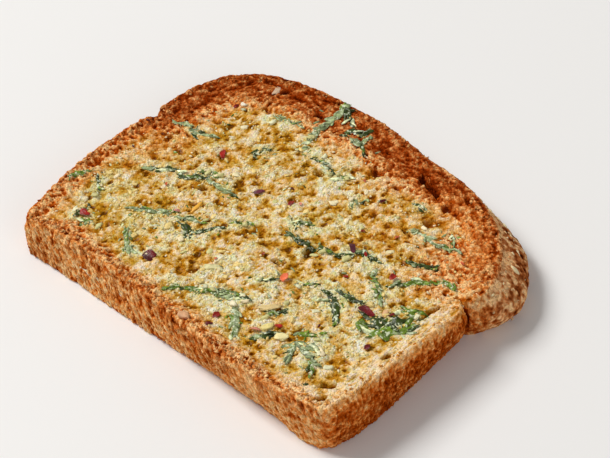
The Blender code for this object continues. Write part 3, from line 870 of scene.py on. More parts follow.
def bread_material():
    """Colour from the ramps, shaded by the grains, over a rough surface that lets a little light in
    and has a thin coat of oil."""
    material, tree, shader = new_material("toasted_bread")
    toasted, hollow, oily, crusty, paste, herby, fibrous = (attribute(tree, n) for n in BREAD_NUMBERS)
    blotch, fine, finer = noise(tree, 1.7, detail=1.0), noise(tree, 0.7), noise(tree, 0.35)
    tone, edge = grains(tree, 0.5)
    thick_strands, thin_strands = strands(tree, 0.62, -0.46, 3.8), strands(tree, 0.4, -0.4, 3.8)
    fine = blend_numbers(tree, fibrous, fine, thick_strands)
    finer = blend_numbers(tree, fibrous, finer, thin_strands)
    tone = blend_numbers(tree, fibrous, tone, thin_strands)
    edge = blend_numbers(tree, fibrous, edge, 0.3)
    depth = bread_depth(tree, hollow, blotch, fine, thick_strands, crusty, fibrous)
    colour = bread_colour(tree, depth, toasted, paste, herby, crusty)
    half_tone, half_finer = (math_node(tree, "MULTIPLY", value, 0.5) for value in (tone, finer))
    shade = ramp(tree, math_node(tree, "ADD", half_tone, half_finer), GRAIN_SHADES)
    grit = math_node(tree, "ADD", math_node(tree, "MULTIPLY", toasted, 0.9), 0.3)
    grit = math_node(tree, "SUBTRACT", grit, math_node(tree, "MULTIPLY", crusty, 0.3), clamp=True)
    colour = mix(tree, grit, colour, shade, "MULTIPLY")
    tree.links.new(colour, shader.inputs["Base Color"])
    shader.inputs["Roughness"].default_value = 0.6
    shader.inputs["Specular IOR Level"].default_value = 0.0
    shader.inputs["Subsurface Weight"].default_value = 0.1
    shader.inputs["Subsurface Radius"].default_value = (1.0, 0.55, 0.25)
    shader.inputs["Subsurface Scale"].default_value = 0.0012
    tree.links.new(math_node(tree, "MULTIPLY", oily, 0.12), shader.inputs["Coat Weight"])
    shader.inputs["Coat Roughness"].default_value = 0.22
    lumps = math_node(tree, "ADD", math_node(tree, "MULTIPLY", edge, -0.8), fine)
    bump(tree, shader, math_node(tree, "ADD", lumps, finer), 0.4, 0.9)
    return material


bread = bread_material()
print("the bread's material has", len(bread.node_tree.nodes), "nodes")

# %% [markdown]
# ## The crumb's upper face
#
# This is the cut face that carries the garlic. Rings round a centre would crowd their points in the
# middle, and a plain square grid would leave a jagged edge. So a square grid is stretched over the
# slice: each square ring of it becomes a smaller copy of the outline, and the cells stay nearly even.
# The face is closed below, inside the slice, by one flat polygon, because a surface with an open edge
# isn't a body.

# %% A square grid stretched over an outline
CRUMB_CELL = 0.345
CRUST_OVERLAP = 1.2  # how far the crumb stops inside the rim


def square_on(loop, cell):
    """Points of a square grid laid on a closed loop that starts at its lower left corner. Rings of
    the square are copies of the loop, smaller in proportion, and cells are about cell wide."""
    walk = along(np.vstack([loop, loop[:1]]))
    wide = round(base_share * walk[-1] / cell)
    high = round(((1 - base_share) * walk[-1] / cell - wide) / 2)
    a, b = np.meshgrid(np.linspace(-1, 1, wide + 1), np.linspace(-1, 1, high + 1))
    reach = np.maximum(abs(a), abs(b))
    safe = np.maximum(reach, 1e-9)
    a, b, edge = a / safe, b / safe, 1 - 1e-9
    turn = np.select(
        [b <= -edge, a >= edge, b >= edge],
        [(a + 1) / 2 * wide, wide + (b + 1) / 2 * high, wide + high + (1 - a) / 2 * wide],
        2 * wide + high + (1 - b) / 2 * high,
    )
    others = 2 * (wide + high) - wide
    beyond = base_share + (turn - wide) / others * (1 - base_share)
    share = np.where(turn < wide, turn / wide * base_share, beyond)
    x, y = (np.interp(share * walk[-1], walk, np.r_[loop[:, k], loop[0, k]]) for k in (0, 1))
    print(f"a grid of {wide} by {high} cells")
    return middle[0] + reach * (x - middle[0]), middle[1] + reach * (y - middle[1])


def border_of(wide, high):
    """Numbers of the grid's outermost points, anticlockwise."""
    index = np.arange((wide + 1) * (high + 1)).reshape(high + 1, wide + 1)
    return np.r_[index[0, :-1], index[:-1, -1], index[-1, :0:-1], index[:0:-1, 0]]


# %% Build the upper crumb
SLAB_LEVEL, BORDER_SINK = 6.0, 1.4  # height of the closing polygon, and how far the border sinks


def closed_face(name, x, y, z, closing_level, numbers):
    """A piece from a textured grid, whose border is carried straight up or down to a flat polygon at
    the closing level. The grid's faces point away from that polygon."""
    rows, columns = x.shape
    textured = np.stack([x, y, z], axis=-1).reshape(-1, 3)
    edge = border_of(columns - 1, rows - 1)
    closing = textured[edge].copy()
    closing[:, 2] = closing_level
    lid = len(textured) + np.arange(len(edge))
    side = np.stack([lid, np.roll(lid, -1), np.roll(edge, -1), edge], axis=1)
    faces = [grid_faces(rows, columns), side, lid[::-1][None, :]]
    if closing_level > z.max():
        faces = [some[:, ::-1] for some in faces]
    numbers = {key: np.r_[values.ravel(), np.zeros(len(edge))] for key, values in numbers.items()}
    return add_piece(name, np.vstack([textured, closing]), faces, bread, **numbers)


def upper_crumb():
    """The plain top plus its relief, sunk by a smooth step under the crust that overlaps its border."""
    x, y = square_on(rim - rim_normal * CRUST_OVERLAP, CRUMB_CELL)
    relief, numbers = top_texture(x, y)
    z = plain_top(x, y) + relief - BORDER_SINK * (1 - smooth_step(rim_distance(x, y), 1.3, 2.3))
    return closed_face("crumb_top", x, y, z, SLAB_LEVEL, numbers)


crumb_top = upper_crumb()
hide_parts("toast_slice")


# %% [markdown]
# ## The underside
#
# The underside is hidden as the slice lies, but a slice can be turned over. A flat lid would do for
# the resting slice and look wrong in the hand. It is cut crumb too, toasted evenly and dry, so the crisp
# recipe is laid on the outline of the foot, with its pits upwards and nothing below the table.

# %% Build the underside
UNDER_CELL, UNDER_TOAST, UNDER_GAP = 0.62, 0.36, 0.35
UNDER_LEVEL = SLAB_LEVEL + 0.3
foot = rim + rim_normal * wall_offset(rim[:, 0], rim[:, 1], 0.0)[:, None]


def underside():
    """Height is the gap less 0.8 of the crisp crumb's, and never under 0. It rises towards the rim,
    where it is toasted more."""
    x, y = square_on(foot - rim_normal * CRUST_OVERLAP, UNDER_CELL)
    height, hollow = crisp_crumb(at_level(x, y, -30.0))
    inner = smooth_step(rim_distance(x, y), 0.5, 4.0)
    z = np.maximum(UNDER_GAP - height * 0.8, 0.0) + 0.6 * (1 - inner)
    flat = at_level(x, y)
    clouds = UNDER_TOAST + 0.12 * grain(flat, 14.0, 31) + 0.07 * grain(flat, 4.0, 32)
    toasted = np.clip(clouds + 0.25 * (1 - inner), 0, 1)
    numbers = {"toasted": toasted, "hollow": hollow}
    return closed_face("crumb_under", x, y, z, UNDER_LEVEL, numbers)


underside()

# %% [markdown]
# ## The crust
#
# The crust is a band round the slice. An extruded outline would give it one flat wall with sharp edges.
# Instead a profile is carried along the outline: over the lip, down the wall, round the foot and back
# inside, so that it closes on itself. Its texture differs by side. Along the base the tin loaf's crumb
# shows as slanting fibres with pits between them, the right side has a fine skin, and the dome is
# leathery and creased. Each has its own recipe, and the side a point faces says how much each counts.

# %% The crust's profile
CRUST_CELL = 0.33
ROUNDING = 0.9
STRIP = 3.2  # how far the band reaches in over the crumb


def crust_profile():
    """Stations round the band, as rows of (distance in from the wall, height, side, wall). Side is 1 on
    the upper face, with the height down from it, 0 on the wall, with a share of the wall's height, and
    -1 on the underside, with the height above the table. Lip and foot are quarter circles. Wall is how
    much the wall's texture counts."""
    rows = [(STRIP + 0.3, 3.0, 1, 0), (STRIP + 0.1, 1.4, 1, 0)]
    for inset in np.arange(STRIP, ROUNDING, -CRUST_CELL):
        rows.append((inset, 0.9 * smooth_step(inset, 2.3, STRIP), 1, 0))
    for angle in np.linspace(0, math.pi / 2, 5):
        inset, down = ROUNDING * (1 - math.sin(angle)), ROUNDING * (1 - math.cos(angle))
        rows.append((inset, down, 1, angle / math.pi * 2))
    for up in np.linspace(1, 0, round((THICKNESS - 2 * ROUNDING) / CRUST_CELL))[1:]:
        rows.append((0.0, up, 0, 1))
    for angle in np.linspace(0, math.pi / 2, 4)[1:]:
        inset, height = ROUNDING * (1 - math.cos(angle)), ROUNDING * (1 - math.sin(angle))
        rows.append((inset, height, -1, 1))
    for inset in np.arange(ROUNDING + CRUST_CELL, STRIP, 2 * CRUST_CELL):
        rows.append((inset, 0.0, -1, 0.5))
    rows += [(STRIP + 0.1, 1.5, -1, 0), (STRIP + 0.3, 4.5, -1, 0)]
    return np.array(rows)


print("the crust's profile has", len(crust_profile()), "stations")


# %% Three recipes for the wall
# How far along the rim the first two creases lie
CREASE_PLACES = [rim_walk[np.argmin(np.hypot(*(rim - near).T))] for near, _, _ in CREASES[:2]]
CRACK_WIDTH, CRACK_DEPTH = 0.45, 1.1
FIBRE_LEAN, FIBRE_FALL, FIBRE_STRETCH = 0.5, 0.3, 2.8


def base_wall(walk, z, plain):
    """Slanting fibres with pits between them: threads and pits, sheared by the fibres' lean and fall
    and drawn out by their stretch."""
    slant = at_level(walk + FIBRE_LEAN * z, (z - FIBRE_FALL * walk) / FIBRE_STRETCH, 5.0)
    slant = warped(slant, 1.5, 0.5, 40)
    fibres = np.maximum(threads(slant, 1.6, 43), 0.85 * threads(slant, 0.9, 42))
    holes = pits(slant, 1.7, 41, share=0.75)
    bumps = 0.5 * fibres + 0.24 * grain(plain, 0.6, 48) - 1.0 * holes
    return bumps, 0.8 - 0.8 * fibres + 0.6 * holes - 0.4 * grain(plain, 0.7, 60)


def right_wall(plain, upright, shaken):
    """A fine skin: small pits, and faint lines that run up it."""
    fine = 0.15 * pits(shaken, 1.5, 44, share=0.4) + 0.4 * pits(plain, 0.75, 45, share=0.75)
    lines = threads(upright, 0.9, 46) + 0.7 * threads(upright, 0.5, 47)
    hollow = 0.75 + 0.8 * fine - 0.3 * lines
    hollow = hollow - 0.2 * grain(plain, 0.6, 54) + 0.1 * grain(plain, 3.0, 59)
    return 0.14 * grain(plain, 0.5, 54) + 0.2 * lines - fine, hollow


def dome_wall(plain, upright, shaken):
    """Leather: pits of two sizes that are taller than wide, between soft creases."""
    leather = 0.4 * pits(upright, 1.5, 46, share=0.55) + 0.45 * pits(shaken, 1.0, 47, share=0.6)
    creases = 0.2 * threads(upright, 1.9, 49) + 0.2 * grain(plain, 1.0, 56)
    return creases - leather, 0.48 + 1.5 * leather - 1.3 * creases + 0.3 * grain(plain, 2.6, 50)


def crust_relief(walk, z, weights, ragged):
    """Height and hollowness of the crust on the wall unrolled flat, where walk runs along the rim and
    z up. Each side's recipe counts by its weight, the edge is ragged, and a crack exp(-(d / width)^2)
    deep, where d is the walk from a crease, is cut at each of the two. The crack is made hollower too,
    and so darker: painted shade in it."""
    base, right, dome = weights
    plain = at_level(walk, z, 9.0)
    shaken = warped(plain, 1.3, 0.4, 53)
    upright = warped(at_level(walk, z / 2.2, 2.0), 2.0, 0.6, 55)
    base_bumps, base_hollow = base_wall(walk, z, plain)
    right_bumps, right_hollow = right_wall(plain, upright, shaken)
    dome_bumps, dome_hollow = dome_wall(plain, upright, shaken)
    bumps = base * base_bumps + right * right_bumps + dome * dome_bumps
    bumps = bumps + ragged * (0.35 * grain(plain, 1.5, 57) + 0.3 * grain(plain, 0.8, 58))
    bumps = bumps + 0.12 * grain(plain, 2.6, 51)
    hollow = base * base_hollow + right * right_hollow + dome * dome_hollow
    crack = np.zeros_like(z)
    for place in CREASE_PLACES:
        away = (walk - place + 0.7 * grain(plain, 2.5, 63)) / CRACK_WIDTH
        crack = np.maximum(crack, np.exp(-(away**2)))
    return bumps - CRACK_DEPTH * crack, (hollow + 0.8 * crack).clip(0.0, 1.0)


# %% Carry the profile round the rim
closed_rim = np.hstack([rim, rim_normal])
closed_rim = np.vstack([closed_rim, closed_rim[:1]])


def at_walk(walk):
    """The rim's x and y, and its outward direction's, at each walk along it."""
    return [np.interp(walk, rim_walk, closed_rim[:, k]) for k in range(4)]


def plain_band(ex, ey, nx, ny):
    """The profile at each point of the rim, before any texture. On the upper face a station moves in
    towards the middle, as the crumb's grid does, and on the wall it moves along the rim's normal."""
    inset, level, side, wall = crust_profile().T[:, :, None]
    wall_top = thickness_at(ex, ey) + LIP_RISE - ROUNDING
    up = np.where(side == 0, level, np.where(side > 0, 1.0, 0.0))
    out = wall_offset(ex, ey, up) - inset
    inward = 1 + out / (rim_facing.mean() * np.hypot(ex - middle[0], ey - middle[1]))
    on_top = (side > 0) | (out < 0)
    x = np.where(on_top, middle[0] + (ex - middle[0]) * inward, ex + nx * out)
    y = np.where(on_top, middle[1] + (ey - middle[1]) * inward, ey + ny * out)
    z = np.where(side > 0, plain_top(x, y) - level, ROUNDING + (wall_top - ROUNDING) * level)
    z = np.where(side < 0, level, z)
    return np.broadcast_arrays(x, y, z, up, side, wall)


def normals_of(points):
    """Unit normals of a grid that closes on itself both ways: the cross product of its two directions."""
    across = np.roll(points, -1, axis=0) - np.roll(points, 1, axis=0)
    forward = np.roll(points, -1, axis=1) - np.roll(points, 1, axis=1)
    normal = np.cross(across, forward)
    return normal / np.linalg.norm(normal, axis=-1, keepdims=True)


# %% How the wall looks on each side
PALE_STRETCHES = ((-32.0, 14.0, 0.11), (2.0, 9.0, -0.05), (36.0, 11.0, 0.09))  # (x, reach, share) on the base
# RIGHT_TOAST is partly the right side's own browning, partly painted shade, as that side faces away from the
# light.
BASE_TOAST, LEFT_TOAST, RIGHT_TOAST, DOME_TOAST = 0.47, 0.5, 0.7, 0.6
SCORCH_AND_SHADE_AT_FOOT, PALER_UPWARDS = 0.4, 0.26
DOME_CRUSTINESS, BASE_FIBRES = 0.85, 0.85


def wall_looks(x, y, z, up, walk, sides):
    """Relief, hollowness, toasting and smoothness of the wall. It is less hollow than its recipes, and
    so paler, along some stretches, below the rim and by the right crease. Below the rim at the dome's
    right end this paleness is a painted highlight, where light from above and behind falls on the crust.
    Its left foot is darker towards the table: partly scorched, partly painted shade."""
    base, left, right, dome = sides
    ragged = smooth_step(up, 0.6, 1.0) * (base + 0.7 * left + 0.6 * dome + 0.2 * right)
    relief, hollow = crust_relief(walk, z, (base + 0.6 * left, right + 0.4 * left, dome), ragged)
    corner = base * smooth_step(x, 5.0, 45.0)
    by_crease = dome * np.exp(-(((walk - CREASE_PLACES[1] - 4.0) / 9.0) ** 2))
    upper = smooth_step(up, 0.72, 1.0)
    pale = sum(share * np.exp(-(((x - place) / reach) ** 2)) for place, reach, share in PALE_STRETCHES)
    hollow = hollow * (1 - 0.2 * corner) - (0.12 + pale) * base - 0.25 * upper * right
    # Painted highlight: the upper crust at the dome's right end is paler, where light from above falls.
    hollow = hollow - 0.75 * upper * dome * smooth_step(x, 30.0, 45.0)
    hollow = (hollow - 0.1 * by_crease).clip(0.12, 1.0)
    # Darker towards the table at the left foot: partly scorching, partly painted shade.
    foot_scorch_and_shade = SCORCH_AND_SHADE_AT_FOOT * smooth_step(-x, 34.0, 50.0) * (1 - up)
    toasted = (BASE_TOAST + 0.12 * smooth_step(x, -40.0, 10.0) + foot_scorch_and_shade) * base
    toasted = toasted + LEFT_TOAST * left + DOME_TOAST * dome
    # The right side's stronger toasting is partly painted shade.
    toasted = toasted + (RIGHT_TOAST - PALER_UPWARDS * upper) * right + 0.12 * ragged * (1 - right)
    toasted = toasted + 0.08 * grain(np.stack([x, y, z], axis=-1), 5.0, 52)
    return relief, hollow, toasted.clip(0, 1), 1 - 0.25 * corner


# %% Build the crust
def crust_band():
    """Each point of the plain band moved by its relief: along the band's normal on the wall, straight up
    on the upper face and by shares between, but never into the table. Where the band lies under
    other surfaces it is a tenth of a millimetre lower, so that it stays hidden."""
    columns = round(PERIMETER / CRUST_CELL)
    walk = np.arange(columns) / columns * PERIMETER
    ex, ey, nx, ny = at_walk(walk)
    x, y, z, up, side, wall = plain_band(ex, ey, nx, ny)
    points = np.stack([x, y, z], axis=-1)
    normal = normals_of(points)
    dome = smooth_step(y, 46.0, 56.0)
    facings = [smooth_step(facing, 0.3, 0.85) + 1e-6 for facing in (-ny, -nx, nx)]
    base, left, right = (facing * (1 - dome) / sum(facings) for facing in facings)
    relief, numbers = top_texture(x, y)
    looks = wall_looks(x, y, z, up, np.broadcast_to(walk, x.shape), (base, left, right, dome))
    wall_relief, wall_hollow, wall_toast, smoothness = looks
    relief = (relief * (1 - wall) + wall_relief * wall) * between(wall, 1.0, smoothness)
    numbers["hollow"] = numbers["hollow"] * (1 - wall) + wall_hollow * wall
    numbers["toasted"] = numbers["toasted"] * (1 - wall) + wall_toast * wall
    numbers["crusty"] = dome * wall * DOME_CRUSTINESS
    numbers["fibrous"] = (BASE_FIBRES - 0.4 * smooth_step(x, -15.0, 25.0)) * (base + 0.5 * left) * wall
    for key in ("oily", "paste", "herby"):
        numbers[key] = numbers[key] * (1 - wall)
    rows = len(points)
    inside = (np.arange(rows) < 2) | (np.arange(rows) >= rows - 2)
    relief = np.where(inside[:, None] | (side < 0) & (wall < 1), -0.1, relief)
    direction = normal * wall[..., None] + np.array([0, 0, 1.0]) * (1 - wall[..., None])
    points = points + direction * relief[..., None]
    points[..., 2] = np.maximum(points[..., 2], 0.0)
    numbers = {key: values.ravel() for key, values in numbers.items()}
    faces = [grid_faces(rows, columns, wrap_rows=True, wrap_columns=True)[:, ::-1]]
    return add_piece("crust", points, faces, bread, **numbers)


crust_band()

# %% [markdown]
# ## Laying things on the bread
#
# Garlic and herb were spread while wet, so they lie a little sunk in the crumb. A particle system could
# strew them, but it would float them over the pits and leave them as instances. Here everything follows
# the crumb's real height at its place, which a map of it gives quickly. Small grains repeat one faceted
# pebble with only a few dozen faces. Each copy gets its own size, turn and dents, so that no two look
# alike, and each kind is joined into one mesh.

# %% Helpers for strewn things
import bmesh

dice = np.random.default_rng(7)

MAP_STEP, MAP_LEFT, MAP_LOW, MAP_COLUMNS, MAP_ROWS = 0.3, -63.0, -8.0, 420, 325
map_x = MAP_LEFT + MAP_STEP * np.arange(MAP_COLUMNS)
map_y = MAP_LOW + MAP_STEP * np.arange(MAP_ROWS)
map_x, map_y = np.meshgrid(map_x, map_y)
height_map = plain_top(map_x, map_y) + top_texture(map_x, map_y)[0]
print(f"the textured face is {height_map.max():.1f} mm high at most")


def surface_height(x, y):
    """Height of the textured face, from a map of it: the four nearest values, blended."""
    across, up = (x - MAP_LEFT) / MAP_STEP, (y - MAP_LOW) / MAP_STEP
    i, j = np.floor(across).astype(int), np.floor(up).astype(int)
    a, b = across - i, up - j
    low = height_map[j, i] * (1 - a) + height_map[j, i + 1] * a
    high = height_map[j + 1, i] * (1 - a) + height_map[j + 1, i + 1] * a
    return low * (1 - b) + high * b


def pebble(around, rings):
    """Points and faces of a ball with that many segments and rings, of radius 1. Blender lists its faces
    in another order each time, so each is turned to start at its lowest number, and they are sorted."""
    ball = bmesh.new()
    bmesh.ops.create_uvsphere(ball, u_segments=around, v_segments=rings, radius=1.0)
    bmesh.ops.triangulate(ball, faces=ball.faces)
    points = np.array([v.co[:] for v in ball.verts])
    faces = np.array([[v.index for v in f.verts] for f in ball.faces])
    ball.free()
    corners = (faces.argmin(axis=1)[:, None] + np.arange(3)) % 3
    faces = np.take_along_axis(faces, corners, axis=1)
    return points, faces[np.lexsort(faces.T[::-1])]


def turned(points, spin, tilt):
    """Each item's points turned about x by its tilt and then about z by its spin. Turning takes (u, v)
    to (u cos - v sin, u sin + v cos)."""
    def turn(u, v, angle):
        """One turn of every item by its own angle."""
        cosine, sine = np.cos(angle)[:, None], np.sin(angle)[:, None]
        return u * cosine - v * sine, u * sine + v * cosine

    x, y, z = np.moveaxis(points, -1, 0)
    y, z = turn(y, z, tilt)
    x, y = turn(x, y, spin)
    return np.stack([x, y, z], axis=-1)


def repeated(faces, count, each):
    """The same faces for each of count copies that have so many points each."""
    return (faces[None] + each * np.arange(count)[:, None, None]).reshape(-1, faces.shape[1])


def strewn(places, radii, dents, around=6, rings=4):
    """Copies of the pebble: its points times each copy's three half-sizes, times 1 plus or minus dents."""
    ball, faces = pebble(around, rings)
    count = len(places)
    uneven = 1 + dents * dice.uniform(-1.0, 1.0, (count, len(ball), 1))
    shape = ball[None] * uneven * radii[:, None, :]
    shape = turned(shape, dice.uniform(0, 2 * math.pi, count), dice.normal(0.0, 0.35, count))
    return (shape + places[:, None, :]).reshape(-1, 3), repeated(faces, count, len(ball)), len(ball)


FIELD_X, FIELD_Y, TRIES = (-60, 60), (-6, 88), 12  # the box that places lie in, and tries for each


def scattered(count, chance, edge_gap):
    """Random places on the upper face, further than edge_gap from the rim. They are kept with the
    probability that chance gives for them, and fewer where the bread is toasted."""
    x, y = dice.uniform(*FIELD_X, count * TRIES), dice.uniform(*FIELD_Y, count * TRIES)
    clean = (1 - 1.3 * toasting(x, y)).clip(0.02, 1.0) ** 2
    kept = (rim_distance(x, y) > edge_gap) & (dice.uniform(0, 1, len(x)) < chance(x, y) * clean)
    return x[kept][:count], y[kept][:count]


def shades(colours, picks, spread_of_light):
    """One colour for each pick from a list, made lighter or darker at random by up to that share."""
    light = 1 + dice.uniform(-spread_of_light, spread_of_light, (len(picks), 1))
    chosen = np.array(colours)[picks]
    chosen[:, :3] = (chosen[:, :3] * light).clip(0, 1)
    return chosen


# %% [markdown]
# ## The material of the toppings
#
# Herb, garlic and chilli are wet with oil, so each has a gloss. Every piece has its own tone, and a
# material for each tone would make dozens. So the colour is stored at the points, and one recipe for
# all three only makes it uneven: noise darkens and lightens it, and specks of another colour lie on it.

# %% The topping materials
def topping_material(name, specks, speck_size, speck_share, roughness, unevenness, bump_mm):
    """The tint times 1 plus or minus the unevenness, with specks where fine noise passes an edge. The
    larger the specks' share, the lower that edge."""
    material, tree, shader = new_material(name)
    tint = add_node(tree, "ShaderNodeAttribute", attribute_name="tint").outputs["Color"]
    cloud = noise(tree, 1.1, detail=3.0)
    low, high = 1 - unevenness, 1 + unevenness
    shade = ramp(tree, cloud, ((0.32, (low, low, low, 1.0)), (0.68, (high, high, high, 1.0))))
    colour = mix(tree, 1.0, tint, shade, "MULTIPLY")
    fleck = noise(tree, speck_size, detail=4.0)
    edge = 0.5 + 0.28 * (1 - speck_share)
    spot = ramp(tree, fleck, ((edge, (0, 0, 0, 1)), (edge + 0.08, (1, 1, 1, 1))))
    tree.links.new(mix(tree, spot, colour, specks), shader.inputs["Base Color"])
    shader.inputs["Roughness"].default_value = roughness
    shader.inputs["Specular IOR Level"].default_value = 0.3
    bump(tree, shader, math_node(tree, "ADD", cloud, fleck), bump_mm, 0.7)
    return material


# The herb's pale specks are partly garlic and oil that cling to it, partly painted sheen.
herb = topping_material("wet_herb", paint(214, 224, 192), 1.0, 0.84, 0.36, 0.5, 0.2)
garlic = topping_material("oily_garlic", paint(212, 176, 96), 0.7, 0.35, 0.45, 0.14, 0.25)
chilli = topping_material("dried_chilli", paint(214, 110, 84), 0.5, 0.2, 0.3, 0.35, 0.2)

# %% [markdown]
# ## Chopped garlic
#
# The garlic was pounded with oil: fine mince everywhere, thicker where the spread is thick, some
# pieces a few millimetres long, and a few slices that missed the pestle. Cubes would look like dice and
# balls like pebbles, so a ball is made boxy by a power of its coordinates and dented by noise. The
# pieces that catch the eye are listed one by one, and chance strews the rest.

# %% Colours and large pieces of garlic
CREAM, BUTTER, STRAW = paint(244, 228, 186), paint(236, 210, 134), paint(224, 186, 104)
PALE_GREEN, MILKY = paint(208, 202, 138), paint(232, 230, 190)
PIECES = (  # (colour, length, width, thickness, place, turn) of the pieces that were cut large
    (paint(222, 214, 160), 4.6, 2.0, 0.9, (-1.5, 18.5), 0.5),
    (paint(224, 198, 138), 5.6, 1.7, 0.7, (20.5, 17), 0.7),
    (paint(232, 214, 136), 3.0, 1.8, 1.0, (24.5, 12), 0.9),
    (paint(220, 168, 124), 3.6, 2.2, 1.2, (6, 1.2), 0.4),
    (paint(236, 176, 62), 4.8, 1.3, 0.9, (-21, 31.5), 1.5),
    (paint(236, 226, 190), 2.4, 1.6, 0.9, (12.5, 12), 0.2),
    (paint(220, 176, 128), 2.8, 1.8, 0.8, (44.0, 33.0), 2.4),
    (paint(240, 226, 164), 3.2, 2.8, 0.8, (29.5, 11.5), 0.0),
    (paint(240, 228, 184), 2.6, 1.7, 0.7, (6, 55), 0.6),
    (paint(238, 226, 180), 2.8, 1.6, 0.7, (-22, 47), 0.4),
    (paint(238, 226, 184), 2.4, 1.5, 0.7, (-34, 62), 1.0),
    (paint(234, 220, 170), 2.6, 1.5, 0.7, (30, 50), 0.8),
    (paint(206, 176, 146), 3.4, 1.7, 0.5, (-38.2, 79), 1.9),
    (paint(244, 236, 214), 1.7, 1.2, 0.9, (-40.8, 68.8), 0.3),
    (paint(190, 190, 150), 1.6, 1.1, 0.8, (-39.6, 67.6), 1.1),
)


# %% Mince and chopped pieces
MINCE_COUNT, CHOPPED_COUNT = 2300, 100
BOXINESS = 0.75


def garlic_mince():
    """Small dented pebbles, more of them where the spread is, and a few that cling to each shred."""
    x, y = scattered(MINCE_COUNT, lambda x, y: 0.15 + 0.85 * spread(x, y), 3.5)
    clinging = np.vstack([share_out(smooth_line(places), 6) for _, _, *places in SHREDS])
    clinging = clinging + dice.normal(0.0, 0.8, clinging.shape)
    x, y = np.r_[x, clinging[:, 0]], np.r_[y, clinging[:, 1]]
    size = dice.uniform(0.14, 0.42, len(x))
    size[-len(clinging):] *= 0.8
    radii = size[:, None] * dice.uniform([1.0, 0.7, 0.55], [1.6, 1.0, 0.85], (len(x), 3))
    places = np.stack([x, y, surface_height(x, y) + 0.1 * size], axis=-1)
    places[-len(clinging):, 2] += dice.uniform(0.1, 0.5, len(clinging))
    points, faces, each = strewn(places, radii, 0.3, 5, 4)
    picks = dice.choice(4, len(x), p=[0.4, 0.28, 0.14, 0.18])
    return points, faces, np.repeat(shades([CREAM, BUTTER, PALE_GREEN, STRAW], picks, 0.14), each, axis=0)


def chopped(sizes, places, turns, raised):
    """Pieces as a knife leaves them: the pebble's coordinates to the power of its boxiness, dented by
    noise that is different for each. The size is divided by 2.3, not 2, as the dents swell it. Each
    rests on the mean height of what is below it, raised by a share of its thickness, or sunk where that
    share is negative."""
    ball, faces = pebble(12, 9)
    ball = np.sign(ball) * np.abs(ball) ** BOXINESS
    count = len(sizes)
    dents = [1 + 0.5 * grain(ball, 0.9, 90 + k) + 0.36 * grain(ball, 0.4, 190 + k) for k in range(count)]
    shape = ball[None] * np.stack(dents)[..., None] * sizes[:, None, :] / 2.3
    shape = turned(shape, turns, np.zeros(count))
    shape[..., :2] += places[:, None, :]
    rest = surface_height(shape[..., 0], shape[..., 1]).mean(axis=1) + 0.6 * herb_stain(*places.T)
    shape[..., 2] += (rest + raised * sizes[:, 2])[:, None]
    return shape.reshape(-1, 3), repeated(faces, count, len(ball)), len(ball)


def garlic_pieces():
    """Random chopped pieces where the spread is, a little sunk, and the large ones at their places."""
    x, y = scattered(CHOPPED_COUNT, lambda x, y: 0.1 + 0.9 * spread(x, y), 6.0)
    sizes = dice.uniform(1.0, 2.2, (len(x), 1))
    sizes = sizes * dice.uniform([1.0, 0.6, 0.3], [1.5, 0.9, 0.5], (len(x), 3))
    picks = dice.choice(4, len(x), p=[0.25, 0.3, 0.3, 0.15])
    tint = shades([CREAM, BUTTER, PALE_GREEN, MILKY], picks, 0.1)
    colours, lengths, widths, thicknesses, spots, own_turns = zip(*PIECES)
    sizes = np.vstack([sizes, np.column_stack([lengths, widths, thicknesses])])
    places = np.vstack([np.stack([x, y], axis=1), spots])
    turns = np.r_[dice.uniform(0, 2 * math.pi, len(x)), own_turns]
    raised = np.r_[np.full(len(x), -0.1), np.full(len(PIECES), 0.1)]
    points, faces, each = chopped(sizes, places, turns, raised)
    return points, faces, np.repeat(np.vstack([tint, colours]), each, axis=0)


def add_garlic():
    """Mince and pieces joined into one mesh."""
    mince, mince_faces, mince_tint = garlic_mince()
    cut, cut_faces, cut_tint = garlic_pieces()
    points, faces = np.vstack([mince, cut]), np.vstack([mince_faces, cut_faces + len(mince)])
    return add_piece("garlic_bits", points, [faces], garlic, tint=np.vstack([mince_tint, cut_tint]))


add_garlic()

# %% [markdown]
# ## Shreds and leaves of herb
#
# The herb was chopped, fried a little in the oil and strewn wet, so its shreds cling and twist. Flat
# cards with a leaf's picture would be quick, but they show their edge from the side. So each shred is a
# closed ribbon: a flat oval section is carried along a smooth line, wider in the middle, folded along
# its length, and it rolls from side to side. The lines follow the main shreds as they lie, and scraps
# of leaf, which are shorter ribbons, stick out along them.

# %% The ribbons
RIBBON_STEP, RIBBON_THICKNESS = 0.3, 0.11
NOISE_APART = 3.7  # how far apart two shreds are in the noise
RIBBON_POINTS, SCRAP_POINTS = 10, 8  # points round a section


def lying(line, lift, shaky):
    """Heights of a line that lies on the crumb: the plain top, the relief averaged over nine steps, the
    lift and a little noise."""
    plain = plain_top(*line.T)
    relief = surface_height(*line.T) - plain
    window = np.hanning(9) / np.hanning(9).sum()
    relief = np.convolve(np.pad(relief, 4, mode="edge"), window, mode="valid")
    return plain + relief + lift + 0.25 * grain(shaky, 3.0, 83)


